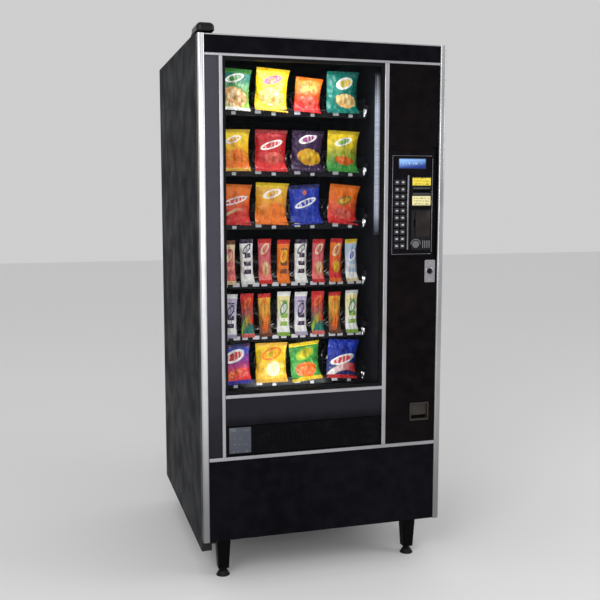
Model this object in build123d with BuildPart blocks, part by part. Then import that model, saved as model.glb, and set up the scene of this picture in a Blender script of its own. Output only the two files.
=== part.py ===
"""Glass-front snack vending machine: cabinet, spiral trays, hinged door and selection panel.

Millimetres. +Z is up, the machine's front faces -Y, and +X is to the right seen from the front.
The origin is the middle of the footprint, on the floor.
"""

import os

from build123d import *

os.makedirs("parts", exist_ok=True)

# ---------------------------------------------------------------- driving dimensions
overall_width = 856.0
overall_depth = 914.0
door_bottom = 157.0
cabinet_rise = 8.0
hinge_side_drop = 46.0
latch_side_drop = 14.0
sheet = 2.0
flange = 35.0

door_depth = 46.0
door_gap = 4.0
trim_width = 22.0
trim_depth = 8.0
trim_radius = 6.0
bar_proud = 1.0
panel_recess = 6.0
panel_sheet = 2.0
frame_web = 2.5

kick_height = 276.0
lower_bar_height = 13.0
flap_height = 104.0
flap_apron_height = 94.0
sill_height = 12.0
window_height = 1098.0
header_bar_height = 9.0
header_height = 58.0
top_strip_height = 4.0
left_column_width = 45.0
left_bar_width = 12.0
window_width = 554.0
right_bar_width = 15.0

glass_thickness = 6.0
gasket_depth = 12.0
gasket_lip = 10.0
gasket_bite = 6.0

hinge_pin_radius = 5.0
hinge_edge_inset = 12.0
hinge_rear_inset = 22.0
running_fit = 0.05
moving_gap = 0.5

leg_inset_x = 82.0
leg_inset_y = 95.0
leg_top = 50.0
leg_tip = 38.0
foot_height = 16.0
foot_radius = 24.0
stem_radius = 8.0

lane_pitch = 69.85
candy_lanes = 8
chip_lanes = 4
tray_front_gap = 160.0
tray_depth = 520.0
tray_shift_x = -86.0
tray_sheet = 1.2
tray_wall = 46.0
tray_side_gap = 12.0
rail_height = 24.0
rail_drop = 2.0
rail_depth = 6.0
rail_chamfer = 1.5
top_tray_to_door_top = 212.0
tray_steps = [203.0, 182.0, 205.0, 186.0, 164.0]
candy_rows = [3, 4]

chip_coil_radius = 38.0
coil_side_gap = 4.925
coil_sleeve = 1.0
chip_coil_pitch = 44.0
candy_coil_pitch = 40.0
coil_wire_radius = 2.2
coil_lift = 2.5
coil_setback = 48.0
coil_rear_gap = 14.0
hub_thickness = 8.0
hub_bite = 4.0
hub_rim = 1.0
shaft_radius = 4.0
motor_depth = 46.0
motor_height = 52.0
motor_spacing = 14.0
shaft_start_gap = 1.0

bag_side_gap = 9.85
bag_height = 132.0
bag_thickness = 36.0
bar_side_gap = 13.925
bar_pack_height = 146.0
bar_pack_thickness = 26.0
pack_lap = 9.0
pack_lap_drop = 12.0
pack_gap = 2.0
pack_headroom = 3.0
pack_shoulder = 0.72

module_left = 652.0
module_width = 162.0
module_bottom = 950.0
module_height = 358.0
bezel_thickness = 8.0
key_columns = 2
key_rows = 10
key_size = 16.5
key_pitch_x = 21.6
key_pitch_z = 24.1
key_gap = 0.4
key_thickness = 6.0
key_left = 680.6
key_top = 1202.0

flap_thickness = 5.0
flap_pin_radius = 3.0
flap_rib_count = 9
coin_button_radius = 13.0
cup_width = 66.0
cup_height = 59.0
cup_left = 743.0
cup_bottom = 368.0
cup_depth = 50.0
lock_left = 806.0
lock_z = 896.0
lock_radius = 9.5
cam_reach = 38.0

# ---------------------------------------------------------------- derived levels
half_width = overall_width / 2
front_y = -overall_depth / 2
back_y = overall_depth / 2
panel_y = front_y + panel_recess
frame_y = panel_y + panel_sheet
door_back_y = front_y + door_depth
cabinet_y = door_back_y + door_gap
hinge_x = -half_width + hinge_edge_inset
hinge_y = door_back_y - hinge_rear_inset

lower_bar_z = door_bottom + kick_height
flap_z = lower_bar_z + lower_bar_height
apron_z = flap_z + flap_height
sill_z = apron_z + flap_apron_height
window_z = sill_z + sill_height
header_bar_z = window_z + window_height
header_z = header_bar_z + header_bar_height
door_top = header_z + header_height
door_height = door_top - door_bottom
cabinet_top = door_top + cabinet_rise

inner_left = -half_width + trim_width
inner_right = half_width - trim_width
left_bar_x = inner_left + left_column_width
window_x = left_bar_x + left_bar_width
right_bar_x = window_x + window_width
control_x = right_bar_x + right_bar_width

tray_width = candy_lanes * lane_pitch
chip_pitch = tray_width / chip_lanes
candy_coil_radius = lane_pitch / 2 - coil_side_gap
bag_width = chip_pitch - 2 * bag_side_gap
bar_pack_width = lane_pitch - 2 * bar_side_gap
tray_left = tray_shift_x - tray_width / 2
tray_right = tray_shift_x + tray_width / 2
tray_y = front_y + tray_front_gap
tray_back_y = tray_y + tray_depth
tray_floors = [door_top - top_tray_to_door_top]
for step in tray_steps:
    tray_floors.append(tray_floors[-1] - step)


def span(x0, x1, y0, y1, z0, z1, mode=Mode.ADD):
    """Add a box between two corners to the part being built."""
    with Locations(((x0 + x1) / 2, (y0 + y1) / 2, (z0 + z1) / 2)):
        Box(x1 - x0, y1 - y0, z1 - z0, mode=mode)


def front_rect(x0, x1, z0, z1, mode=Mode.ADD):
    """Add a rectangle between two corners to a sketch that faces the front."""
    with Locations(((x0 + x1) / 2, (z0 + z1) / 2)):
        Rectangle(x1 - x0, z1 - z0, mode=mode)


def save(piece, name):
    """Label a finished piece and write its STEP file."""
    piece.part.label = name
    export_step(piece.part, f"parts/{name}.step")


# ---------------------------------------------------------------- cabinet shell
for side, name, drop in (
    (-1, "left_side_panel", hinge_side_drop),
    (1, "right_side_panel", latch_side_drop),
):
    bottom = door_bottom - drop
    outer = side * half_width
    inner = outer - side * sheet
    lip = outer - side * flange
    with BuildPart() as side_panel:
        span(min(outer, inner), max(outer, inner), cabinet_y, back_y, bottom, cabinet_top - sheet)
        span(min(inner, lip), max(inner, lip), cabinet_y, cabinet_y + sheet, bottom, cabinet_top - sheet)
        span(min(inner, lip), max(inner, lip), back_y - 2 * sheet, back_y - sheet, bottom, cabinet_top - sheet)
    save(side_panel, name)

lid_skirt = 18.0
lid_round = 1.2
lid_inset = flange + moving_gap
with BuildPart() as top_panel:
    span(-half_width, half_width, cabinet_y, back_y, cabinet_top - sheet, cabinet_top)
    span(-half_width + lid_inset, half_width - lid_inset, cabinet_y, cabinet_y + sheet,
         cabinet_top - sheet - lid_skirt, cabinet_top - sheet)
    fillet(top_panel.edges().filter_by(Axis.Y).group_by(Axis.Z)[-1], lid_round)
save(top_panel, "top_panel")

base_z = door_bottom - latch_side_drop
louvre_rows = 8
louvre_columns = 3
louvre_pitch = 22.0
louvre_width = 90.0
louvre_spacing = 135.0
louvre_height = 6.0
inlet_radius = 14.0
inlet_x = -half_width + 110.0
inlet_z = base_z + 90.0
louvre_z = base_z + 240.0
with BuildPart() as back_panel:
    with BuildSketch(Plane.XZ.offset(-(back_y - sheet))):
        front_rect(-half_width + sheet, half_width - sheet, base_z, cabinet_top - sheet)
        with Locations((0, louvre_z)):
            with GridLocations(louvre_spacing, louvre_pitch, louvre_columns, louvre_rows):
                SlotOverall(louvre_width, louvre_height, mode=Mode.SUBTRACT)
        with Locations((inlet_x, inlet_z)):
            Circle(inlet_radius, mode=Mode.SUBTRACT)
    extrude(amount=-sheet)
save(back_panel, "back_panel")

base_lip = 30.0
with BuildPart() as base_panel:
    span(-half_width + sheet, half_width - sheet, cabinet_y + sheet, back_y - 2 * sheet, base_z, base_z + sheet)
    span(-half_width + flange, half_width - flange, cabinet_y, cabinet_y + sheet, base_z, base_z + base_lip)
save(base_panel, "base_panel")

leg_corner = 6.0
leg_plate_margin = 10.0
leg_plate_thickness = 4.0
foot_neck = 12.0
foot_flare = 7.0
stem_reach = 38.0
stem_socket = 30.0
leg_x = half_width - leg_inset_x
leg_y = overall_depth / 2 - leg_inset_y
with BuildPart() as legs:
    for corner in GridLocations(2 * leg_x, 2 * leg_y, 2, 2):
        spot = corner.position
        with BuildSketch(Plane.XY.offset(base_z).move(Location((spot.X, spot.Y, 0)))) as leg_head:
            RectangleRounded(leg_top, leg_top, leg_corner)
        with BuildSketch(Plane.XY.offset(foot_height + foot_neck).move(Location((spot.X, spot.Y, 0)))) as leg_end:
            RectangleRounded(leg_tip, leg_tip, leg_corner)
        loft(sections=[leg_end.sketch, leg_head.sketch])
        with Locations((spot.X, spot.Y, base_z - leg_plate_thickness / 2)):
            Box(leg_top + 2 * leg_plate_margin, leg_top + 2 * leg_plate_margin, leg_plate_thickness)
        with Locations((spot.X, spot.Y, foot_height + foot_neck)):
            Cylinder(stem_radius + running_fit, stem_socket, align=(Align.CENTER, Align.CENTER, Align.MIN),
                     mode=Mode.SUBTRACT)
save(legs, "legs")

with BuildPart() as levelling_feet:
    with GridLocations(2 * leg_x, 2 * leg_y, 2, 2):
        Cone(foot_radius, stem_radius + foot_flare, foot_height, align=(Align.CENTER, Align.CENTER, Align.MIN))
        Cylinder(stem_radius, foot_height + stem_reach, align=(Align.CENTER, Align.CENTER, Align.MIN))
save(levelling_feet, "levelling_feet")

# ---------------------------------------------------------------- hinge
bracket_plate = 4.0
bracket_width = 44.0
bracket_back = cabinet_y + 70.0
bracket_gap = 3.0
low_bracket_top = door_bottom - bracket_gap
pin_reach = 30.0
with BuildPart() as hinge_brackets:
    span(-half_width, -half_width + bracket_width, front_y + trim_depth, bracket_back,
         cabinet_top, cabinet_top + bracket_plate)
    with Locations((hinge_x, hinge_y, cabinet_top)):
        Cylinder(hinge_pin_radius, cabinet_rise + pin_reach, align=(Align.CENTER, Align.CENTER, Align.MAX))
    span(-half_width, -half_width + bracket_width, front_y + trim_depth, cabinet_y,
         low_bracket_top - bracket_plate, low_bracket_top)
    span(-half_width, -half_width + flange, cabinet_y - bracket_plate, cabinet_y,
         door_bottom - hinge_side_drop, low_bracket_top)
    with Locations((hinge_x, hinge_y, low_bracket_top - bracket_plate)):
        Cylinder(hinge_pin_radius, bracket_gap + bracket_plate + pin_reach,
                 align=(Align.CENTER, Align.CENTER, Align.MIN))
save(hinge_brackets, "hinge_brackets")

cover_width = 58.0
cover_length = 112.0
cover_height = 24.0
cover_wall = 2.0
cover_corner = 16.0
cover_dome = 14.88
cover_hollow = 8.4
cover_z = cabinet_top + bracket_plate
cover_y = front_y + trim_depth + cover_length / 2
with BuildPart() as hinge_cover:
    with BuildSketch(Plane.XY.offset(cover_z).move(Location((-half_width + cover_width / 2, cover_y, 0)))):
        RectangleRounded(cover_width, cover_length, cover_corner)
    extrude(amount=cover_height)
    fillet(hinge_cover.edges().group_by(Axis.Z)[-1], cover_dome)
    with BuildSketch(Plane.XY.offset(cover_z).move(Location((-half_width + cover_width / 2, cover_y, 0)))):
        RectangleRounded(cover_width - 2 * cover_wall, cover_length - 2 * cover_wall, cover_corner - cover_wall)
    extrude(amount=cover_hollow, mode=Mode.SUBTRACT)
save(hinge_cover, "hinge_cover")

# ---------------------------------------------------------------- inside walls and rails
wall_sheet = 1.5
motor_side_room = 8.0
wall_below_flap = 10.0
wall_top_gap = 4.0
wall_front_gap = 1.0
wall_back_gap = 6.0
left_wall_x = tray_left - tray_side_gap - wall_sheet
right_wall_x = tray_right + tray_side_gap + motor_side_room
wall_floor = flap_z - wall_below_flap
wall_ceiling = cabinet_top - sheet - lid_skirt - wall_top_gap
wall_front_y = cabinet_y + sheet + wall_front_gap
wall_back_y = back_y - 2 * sheet - wall_back_gap
with BuildPart() as inner_walls:
    for wall_x in (left_wall_x, right_wall_x):
        span(wall_x, wall_x + wall_sheet, wall_front_y, wall_back_y, wall_floor, wall_ceiling)
save(inner_walls, "inner_walls")

support_height = 14.0
support_drop = 10.0
support_setback = 20.0
with BuildPart() as tray_rails:
    for floor in tray_floors:
        low = floor + support_drop
        high = low + support_height
        span(left_wall_x + wall_sheet, tray_left - moving_gap, tray_y + support_setback, tray_back_y, low, high)
        span(tray_right + moving_gap, right_wall_x, tray_y + support_setback, tray_back_y, low, high)
save(tray_rails, "tray_rails")

# ---------------------------------------------------------------- trays, coils and motors
def lanes_of(row):
    """Give the lane centres of a tray, from left to right."""
    count = candy_lanes if row in candy_rows else chip_lanes
    pitch = tray_width / count
    return [tray_left + pitch * (lane + 0.5) for lane in range(count)]


def coil_radius_of(row):
    """Give the outer radius of the coils on a tray."""
    return candy_coil_radius if row in candy_rows else chip_coil_radius


def axis_height(row):
    """Give the height of a tray's coil axes."""
    return tray_floors[row] + tray_sheet + coil_lift + coil_radius_of(row)


shaft_clear = 3.0
tray_back_rise = 16.0


def make_tray(row, floor):
    """Build one tray with its walls, lane dividers and shaft holes."""
    centres = lanes_of(row)
    level = axis_height(row)
    with BuildPart() as tray:
        span(tray_left, tray_right, tray_y, tray_back_y, floor, floor + tray_sheet)
        span(tray_left, tray_left + tray_sheet, tray_y, tray_back_y, floor, floor + tray_wall)
        span(tray_right - tray_sheet, tray_right, tray_y, tray_back_y, floor, floor + tray_wall)
        span(tray_left, tray_right, tray_back_y - tray_sheet, tray_back_y, floor, level + tray_back_rise)
        span(tray_left, tray_right, tray_y, tray_y + tray_sheet, floor - rail_drop - rail_height, floor)
        for left, right in zip(centres, centres[1:]):
            middle = (left + right) / 2
            span(middle - tray_sheet / 2, middle + tray_sheet / 2, tray_y + coil_setback, tray_back_y,
                 floor, floor + tray_wall)
        with Locations([(centre, tray_back_y, level) for centre in centres]):
            Cylinder(shaft_radius + shaft_clear, 4 * tray_sheet, rotation=(90, 0, 0), mode=Mode.SUBTRACT)
    return tray.part


tray_parts = [make_tray(row, floor) for row, floor in enumerate(tray_floors)]
with BuildPart() as trays:
    add(tray_parts)
save(trays, "trays")

with BuildPart() as price_rails:
    for floor in tray_floors:
        span(tray_left, tray_right, tray_y - rail_depth, tray_y,
             floor - rail_drop - rail_height, floor - rail_drop)
    chamfer(price_rails.edges().filter_by(Axis.X).group_by(Axis.Y)[0], rail_chamfer)
save(price_rails, "price_rails")


coil_span = tray_depth - coil_setback - tray_sheet - hub_thickness - coil_rear_gap
coil_y = tray_y + coil_setback
turning_coils = {(2, 2): "chip_coil", (3, 5): "candy_coil_upper", (4, 4): "candy_coil_lower"}


def add_hub(centre, level, radius):
    """Add the round plate that a motor's shaft turns."""
    with Locations((centre, coil_y + coil_span + hub_thickness / 2, level)):
        Cylinder(radius + hub_rim, hub_thickness, rotation=(90, 0, 0))
        Cylinder(shaft_radius + running_fit, hub_thickness, rotation=(90, 0, 0), mode=Mode.SUBTRACT)


def make_spiral(centre, level, radius, pitch):
    """Build a coil of round wire whose last turn runs into its hub."""
    with BuildPart() as spiral:
        with BuildLine() as path:
            Helix(pitch, coil_span + hub_bite, radius - coil_wire_radius,
                  center=(centre, coil_y, level), direction=(0, 1, 0))
        with BuildSketch(Plane(origin=path.line @ 0, z_dir=path.line % 0)):
            Circle(coil_wire_radius)
        sweep(is_frenet=True)
        add_hub(centre, level, radius)
    return spiral


def make_sleeve(centre, level, radius):
    """Build the thin sleeve swept by a coil's wire, closed by its hub."""
    with BuildPart() as sleeve:
        with Locations((centre, coil_y + coil_span / 2, level)):
            Cylinder(radius, coil_span, rotation=(90, 0, 0))
            Cylinder(radius - coil_sleeve, coil_span, rotation=(90, 0, 0), mode=Mode.SUBTRACT)
        add_hub(centre, level, radius)
    return sleeve


fixed_coil_parts = []
for row in range(len(tray_floors)):
    for lane, centre in enumerate(lanes_of(row)):
        if (row, lane) in turning_coils:
            pitch = candy_coil_pitch if row in candy_rows else chip_coil_pitch
            save(make_spiral(centre, axis_height(row), coil_radius_of(row), pitch), turning_coils[(row, lane)])
        else:
            fixed_coil_parts.append(make_sleeve(centre, axis_height(row), coil_radius_of(row)).part)

with BuildPart() as fixed_coils:
    add(fixed_coil_parts)
save(fixed_coils, "fixed_coils")

with BuildPart() as vend_motors:
    for row in range(len(tray_floors)):
        for centre in lanes_of(row):
            level = axis_height(row)
            with Locations((centre, tray_back_y + motor_depth / 2, level)):
                Box(lane_pitch - motor_spacing, motor_depth, motor_height)
            shaft_start = coil_y + coil_span + shaft_start_gap
            shaft_length = tray_back_y - shaft_start
            with Locations((centre, shaft_start + shaft_length / 2, level)):
                Cylinder(shaft_radius, shaft_length, rotation=(90, 0, 0))
save(vend_motors, "vend_motors")


# ---------------------------------------------------------------- packs at the front of each lane
def headroom_of(row):
    """Give the height that a pack on a tray can reach below the price rail above it."""
    step = tray_steps[row - 1] if row > 0 else top_tray_to_door_top
    return step - rail_height - rail_drop - tray_sheet - pack_gap - pack_headroom


def pack(centre, row, width, full_height, thickness):
    """Add one standing pack whose bottom seal laps in front of the price rail."""
    height = min(full_height, headroom_of(row))
    front = tray_y - rail_depth - pack_gap - pack_lap
    rear = front + pack_lap + thickness
    foot = tray_floors[row] + tray_sheet + pack_gap
    with BuildSketch(Plane.YZ.offset(centre - width / 2)) as outline:
        with BuildLine():
            Polyline(
                (front, foot - pack_lap_drop),
                (front + pack_lap, foot - pack_lap_drop),
                (front + pack_lap, foot),
                (rear, foot),
                (rear, foot + height * pack_shoulder),
                (front + pack_lap, foot + height),
                (front, foot + height),
                close=True,
            )
        make_face()
    extrude(outline.sketch, amount=width)


with BuildPart() as chip_bags:
    for row in range(len(tray_floors)):
        if row not in candy_rows:
            for centre in lanes_of(row):
                pack(centre, row, bag_width, bag_height, bag_thickness)
save(chip_bags, "chip_bags")

with BuildPart() as candy_bars:
    for row in candy_rows:
        for centre in lanes_of(row):
            pack(centre, row, bar_pack_width, bar_pack_height, bar_pack_thickness)
save(candy_bars, "candy_bars")

# ---------------------------------------------------------------- delivery bin, power box, lamp
bin_sheet = 1.5
bin_fall = 8.0
bin_top_gap = 8.0
bin_back_lean = 34.0
bin_front_gap = 2.0
bin_below_flap = 6.0
bin_clear_of_trays = 10.0
cheek_front_rise = 120.0
cheek_top_inset = 20.0
bin_left = left_wall_x + wall_sheet
bin_right = right_wall_x
bin_lip_y = cabinet_y + sheet + bin_front_gap
bin_floor_z = flap_z - bin_below_flap
bin_deep_z = bin_floor_z - bin_fall
bin_deep_y = tray_y - bin_clear_of_trays
bin_back_top = tray_floors[-1] - rail_drop - rail_height - bin_top_gap
bin_back_y = bin_deep_y + bin_back_lean
with BuildPart() as delivery_bin:
    with BuildSketch(Plane.YZ.offset(bin_left)) as bin_section:
        with BuildLine():
            Polyline(
                (bin_lip_y, bin_floor_z),
                (bin_deep_y, bin_deep_z),
                (bin_back_y, bin_back_top),
                (bin_back_y + bin_sheet, bin_back_top),
                (bin_deep_y + bin_sheet, bin_deep_z - bin_sheet),
                (bin_lip_y, bin_floor_z - bin_sheet),
                close=True,
            )
        make_face()
    extrude(amount=bin_right - bin_left)
    for cheek_x in (bin_left, bin_right - bin_sheet):
        with BuildSketch(Plane.YZ.offset(cheek_x)):
            with BuildLine():
                Polyline(
                    (bin_lip_y, bin_floor_z - bin_sheet),
                    (bin_deep_y, bin_deep_z - bin_sheet),
                    (bin_back_y, bin_back_top),
                    (bin_lip_y + cheek_top_inset, bin_back_top),
                    (bin_lip_y, bin_floor_z + cheek_front_rise),
                    close=True,
                )
            make_face()
        extrude(amount=bin_sheet)
save(delivery_bin, "delivery_bin")

power_side_gap = 20.0
power_setback = 60.0
power_depth = 240.0
power_height = 200.0
power_round = 6.0
power_x0 = control_x + power_side_gap
power_x1 = half_width - flange - power_side_gap
power_y0 = cabinet_y + power_setback
power_y1 = power_y0 + power_depth
power_top = base_z + power_height
with BuildPart() as power_box:
    span(power_x0, power_x1, power_y0, power_y1, base_z + sheet, power_top)
    fillet(power_box.edges().filter_by(Axis.Z), power_round)
    span(power_x0 + sheet, power_x1 - sheet, power_y0 + sheet, power_y1 - sheet,
         base_z + 2 * sheet, power_top - sheet, mode=Mode.SUBTRACT)
save(power_box, "power_box")

lamp_width = 15.0
lamp_top_drop = 92.0
lamp_length = 550.0
lamp_setback = 4.0
lamp_tube_radius = 7.0
lamp_tube_inset = 10.0
lamp_plate = 8.0
lamp_z1 = door_top - lamp_top_drop
lamp_z0 = lamp_z1 - lamp_length
lamp_y = wall_front_y + lamp_setback
lamp_plate_y = lamp_y + 2 * lamp_tube_radius
with BuildPart() as lamp:
    span(right_wall_x - lamp_width, right_wall_x, lamp_plate_y, lamp_plate_y + lamp_plate, lamp_z0, lamp_z1)
    with Locations((right_wall_x - lamp_width / 2, lamp_y + lamp_tube_radius, (lamp_z0 + lamp_z1) / 2)):
        Cylinder(lamp_tube_radius, lamp_length - 2 * lamp_tube_inset)
save(lamp, "lamp")

# ---------------------------------------------------------------- door frame
flap_gap = 3.0
flap_face_inset = 2.0
flap_pin_setback = 3.0
flap_pin_drop = 9.0
flap_pin_bite = 4.0
flap_face_y = frame_y + flap_face_inset
flap_axis_y = flap_face_y + flap_thickness / 2 + flap_pin_setback
flap_axis_z = apron_z - flap_pin_drop
module_x0 = module_left - half_width
module_x1 = module_x0 + module_width
module_z0 = door_bottom + module_bottom
module_z1 = module_z0 + module_height
cut_inset = 6.0
cup_x0 = cup_left - half_width
cup_x1 = cup_x0 + cup_width
cup_z0 = door_bottom + cup_bottom
cup_z1 = cup_z0 + cup_height
lock_x = lock_left - half_width
lock_level = door_bottom + lock_z
shadow_x0 = module_x1
shadow_edge = 2.0
shadow_below = 16.0
shadow_above = 15.0
shadow_x1 = inner_right - shadow_edge
shadow_z0 = module_z0 - shadow_below
shadow_z1 = module_z1 + shadow_above
shadow_depth = 14.0
pocket_rim = 26.0
pocket_rib = 16.0
pocket_side_gap = 10.0
cup_rib = 14.0
lock_rib = 60.0
socket_end_gap = 1.0
with BuildPart() as door_frame:
    span(-half_width, half_width, frame_y, door_back_y, door_bottom, door_top)
    span(window_x, right_bar_x, frame_y, door_back_y, window_z, header_bar_z, mode=Mode.SUBTRACT)
    span(window_x, right_bar_x, frame_y, door_back_y, flap_z, apron_z, mode=Mode.SUBTRACT)
    span(module_x0 + cut_inset, module_x1 - cut_inset, frame_y, door_back_y,
         module_z0 + cut_inset, module_z1 - cut_inset, mode=Mode.SUBTRACT)
    span(cup_x0, cup_x1, frame_y, door_back_y, cup_z0, cup_z1, mode=Mode.SUBTRACT)
    span(shadow_x0, shadow_x1, frame_y, frame_y + shadow_depth, shadow_z0, shadow_z1, mode=Mode.SUBTRACT)
    span(-half_width + pocket_rim, half_width - pocket_rim, frame_y + frame_web, door_back_y,
         door_bottom + pocket_rim, lower_bar_z - frame_web, mode=Mode.SUBTRACT)
    span(-half_width + pocket_rim, half_width - pocket_rim, frame_y + frame_web, door_back_y,
         header_z + frame_web, door_top - pocket_rim, mode=Mode.SUBTRACT)
    span(window_x, right_bar_x, frame_y + frame_web, door_back_y,
         apron_z + pocket_rib, sill_z - frame_web, mode=Mode.SUBTRACT)
    span(control_x + pocket_side_gap, half_width - pocket_rim, frame_y + frame_web, door_back_y,
         cup_z1 + cup_rib, lock_level - lock_rib, mode=Mode.SUBTRACT)
    for pin_z, lean in ((door_bottom, Align.MIN), (door_top, Align.MAX)):
        with Locations((hinge_x, hinge_y, pin_z)):
            Cylinder(hinge_pin_radius + running_fit, pin_reach + socket_end_gap,
                     align=(Align.CENTER, Align.CENTER, lean), mode=Mode.SUBTRACT)
    with BuildSketch(Plane.XZ.offset(-frame_y)):
        with Locations((lock_x, lock_level)):
            Circle(lock_radius + running_fit)
    extrude(amount=-door_depth, mode=Mode.SUBTRACT)
    with Locations(((window_x + right_bar_x) / 2, flap_axis_y, flap_axis_z)):
        Cylinder(flap_pin_radius, window_width + 2 * flap_pin_bite, rotation=(0, 90, 0))
save(door_frame, "door_frame")

with BuildPart() as edge_trims:
    for side in (-1, 1):
        outer = side * half_width
        inner = outer - side * trim_width
        with BuildSketch(Plane.XY.offset(door_bottom)) as trim_section:
            with Locations(((outer + inner) / 2, (front_y + frame_y) / 2)):
                Rectangle(trim_width, trim_depth)
            fillet(trim_section.vertices().group_by(Axis.Y)[0], trim_radius)
        extrude(amount=door_height)
save(edge_trims, "edge_trims")

bar_y = front_y + bar_proud
bar_round = 2.5
bar_round_share = 0.4
bars = [
    (inner_left, inner_right, lower_bar_z, flap_z),
    (inner_left, inner_right, header_bar_z, header_z),
    (window_x, right_bar_x, sill_z, window_z),
    (inner_left, inner_right, door_top - top_strip_height, door_top),
    (left_bar_x, window_x, flap_z, header_bar_z),
    (right_bar_x, control_x, flap_z, header_bar_z),
]


def make_bar(x0, x1, z0, z1):
    """Build one straight bar with its two front edges rounded."""
    along = Axis.X if x1 - x0 > z1 - z0 else Axis.Z
    with BuildPart() as bar:
        span(x0, x1, bar_y, frame_y, z0, z1)
        fillet(bar.edges().filter_by(along).group_by(Axis.Y)[0], min(bar_round, (z1 - z0) * bar_round_share))
    return bar.part


bar_parts = [make_bar(*corners) for corners in bars]
with BuildPart() as divider_bars:
    add(bar_parts)
save(divider_bars, "divider_bars")


with BuildPart() as front_panels:
    for x0, x1, z0, z1 in (
        (inner_left, inner_right, header_z, door_top - top_strip_height),
        (inner_left, left_bar_x, flap_z, header_bar_z),
        (inner_left, inner_right, door_bottom, lower_bar_z),
        (window_x, right_bar_x, apron_z, sill_z),
    ):
        span(x0, x1, panel_y, frame_y, z0, z1)
save(front_panels, "front_panels")

with BuildPart() as control_panel:
    span(control_x, inner_right, panel_y, frame_y, flap_z, header_bar_z)
    span(module_x0 + cut_inset, shadow_x1, panel_y, frame_y, module_z0 + cut_inset, module_z1 - cut_inset,
         mode=Mode.SUBTRACT)
    span(shadow_x0, shadow_x1, panel_y, frame_y, shadow_z0, shadow_z1, mode=Mode.SUBTRACT)
    span(cup_x0, cup_x1, panel_y, frame_y, cup_z0, cup_z1, mode=Mode.SUBTRACT)
    with BuildSketch(Plane.XZ.offset(-panel_y)):
        with Locations((lock_x, lock_level)):
            Circle(lock_radius + running_fit)
    extrude(amount=-panel_sheet, mode=Mode.SUBTRACT)
save(control_panel, "control_panel")

# ---------------------------------------------------------------- window
glass_inset = gasket_lip - gasket_bite
glass_y = frame_y + (gasket_depth - glass_thickness) / 2
with BuildPart() as window_glass:
    span(window_x + glass_inset, right_bar_x - glass_inset, glass_y, glass_y + glass_thickness,
         window_z + glass_inset, header_bar_z - glass_inset)
save(window_glass, "window_glass")

with BuildPart() as window_gasket:
    span(window_x, right_bar_x, frame_y, frame_y + gasket_depth, window_z, header_bar_z)
    span(window_x + gasket_lip, right_bar_x - gasket_lip, frame_y, frame_y + gasket_depth,
         window_z + gasket_lip, header_bar_z - gasket_lip, mode=Mode.SUBTRACT)
    add(window_glass.part, mode=Mode.SUBTRACT)
save(window_gasket, "window_gasket")

# ---------------------------------------------------------------- delivery flap
flap_left = window_x + flap_gap
flap_right = right_bar_x - flap_gap
rib_zone = 150.0
rib_shift = 50.0
rib_level = 48.0
rib_width = 5.0
rib_depth = 3.0
rib_height = 48.0
barrel_radius = 5.5
with BuildPart() as delivery_flap:
    span(flap_left, flap_right, flap_face_y, flap_face_y + flap_thickness, flap_z + flap_gap, apron_z - flap_gap)
    with Locations((0.5 * (flap_left + flap_right), flap_axis_y, flap_axis_z)):
        Cylinder(barrel_radius, flap_right - flap_left, rotation=(0, 90, 0))
        Cylinder(flap_pin_radius + running_fit, flap_right - flap_left, rotation=(0, 90, 0), mode=Mode.SUBTRACT)
    with Locations(((flap_left + flap_right) / 2 - rib_shift, flap_face_y, flap_z + rib_level)):
        with GridLocations(rib_zone / flap_rib_count, 1, flap_rib_count, 1):
            Box(rib_width, rib_depth, rib_height)
save(delivery_flap, "delivery_flap")

# ---------------------------------------------------------------- control module
reader_inset = 82.0
display_left = 34.0
display_width = 102.0
display_bottom = 1248.0
display_height = 36.0
display_recess = 4.0
bezel_round = 2.5
bezel_reach = 6.0
face_recess = 3.0
face_side_left = 10.0
face_side_right = 3.0
face_low = 5.0
face_high = 14.0
key_x0 = key_left - half_width
key_z0 = door_bottom + key_top
reader_x0 = module_x0 + reader_inset
reader_x1 = module_x1 - cut_inset - moving_gap
bill_z0 = door_bottom + 1120.0
bill_z1 = door_bottom + 1222.0
coin_z0 = door_bottom + 970.0
coin_z1 = door_bottom + 1110.0
lcd_x0 = module_x0 + display_left
lcd_x1 = lcd_x0 + display_width
lcd_z0 = door_bottom + display_bottom
lcd_z1 = lcd_z0 + display_height
bezel_back = front_y + bezel_thickness + bezel_reach
with BuildPart() as control_bezel:
    span(module_x0, module_x1, front_y, panel_y, module_z0, module_z1)
    fillet(control_bezel.edges().group_by(Axis.Y)[0], bezel_round)
    span(module_x0 + cut_inset + moving_gap, module_x1 - cut_inset - moving_gap, panel_y, bezel_back,
         module_z0 + cut_inset + moving_gap, module_z1 - cut_inset - moving_gap)
    span(module_x0 + face_side_left, module_x1 - face_side_right, front_y, front_y + face_recess,
         module_z0 + face_low, module_z1 - face_high, mode=Mode.SUBTRACT)
    span(lcd_x0, lcd_x1, front_y, bezel_back, lcd_z0, lcd_z1, mode=Mode.SUBTRACT)
    span(reader_x0, reader_x1, front_y, bezel_back, bill_z0, bill_z1, mode=Mode.SUBTRACT)
    span(reader_x0, reader_x1, front_y, bezel_back, coin_z0, coin_z1, mode=Mode.SUBTRACT)
    for column in range(key_columns):
        for line in range(key_rows):
            centre_x = key_x0 + column * key_pitch_x
            centre_z = key_z0 - line * key_pitch_z
            half = key_size / 2 + key_gap
            span(centre_x - half, centre_x + half, front_y, bezel_back, centre_z - half, centre_z + half,
                 mode=Mode.SUBTRACT)
save(control_bezel, "control_bezel")

with BuildPart() as display_window:
    span(lcd_x0, lcd_x1, front_y + display_recess, bezel_back, lcd_z0, lcd_z1)
save(display_window, "display_window")

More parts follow.
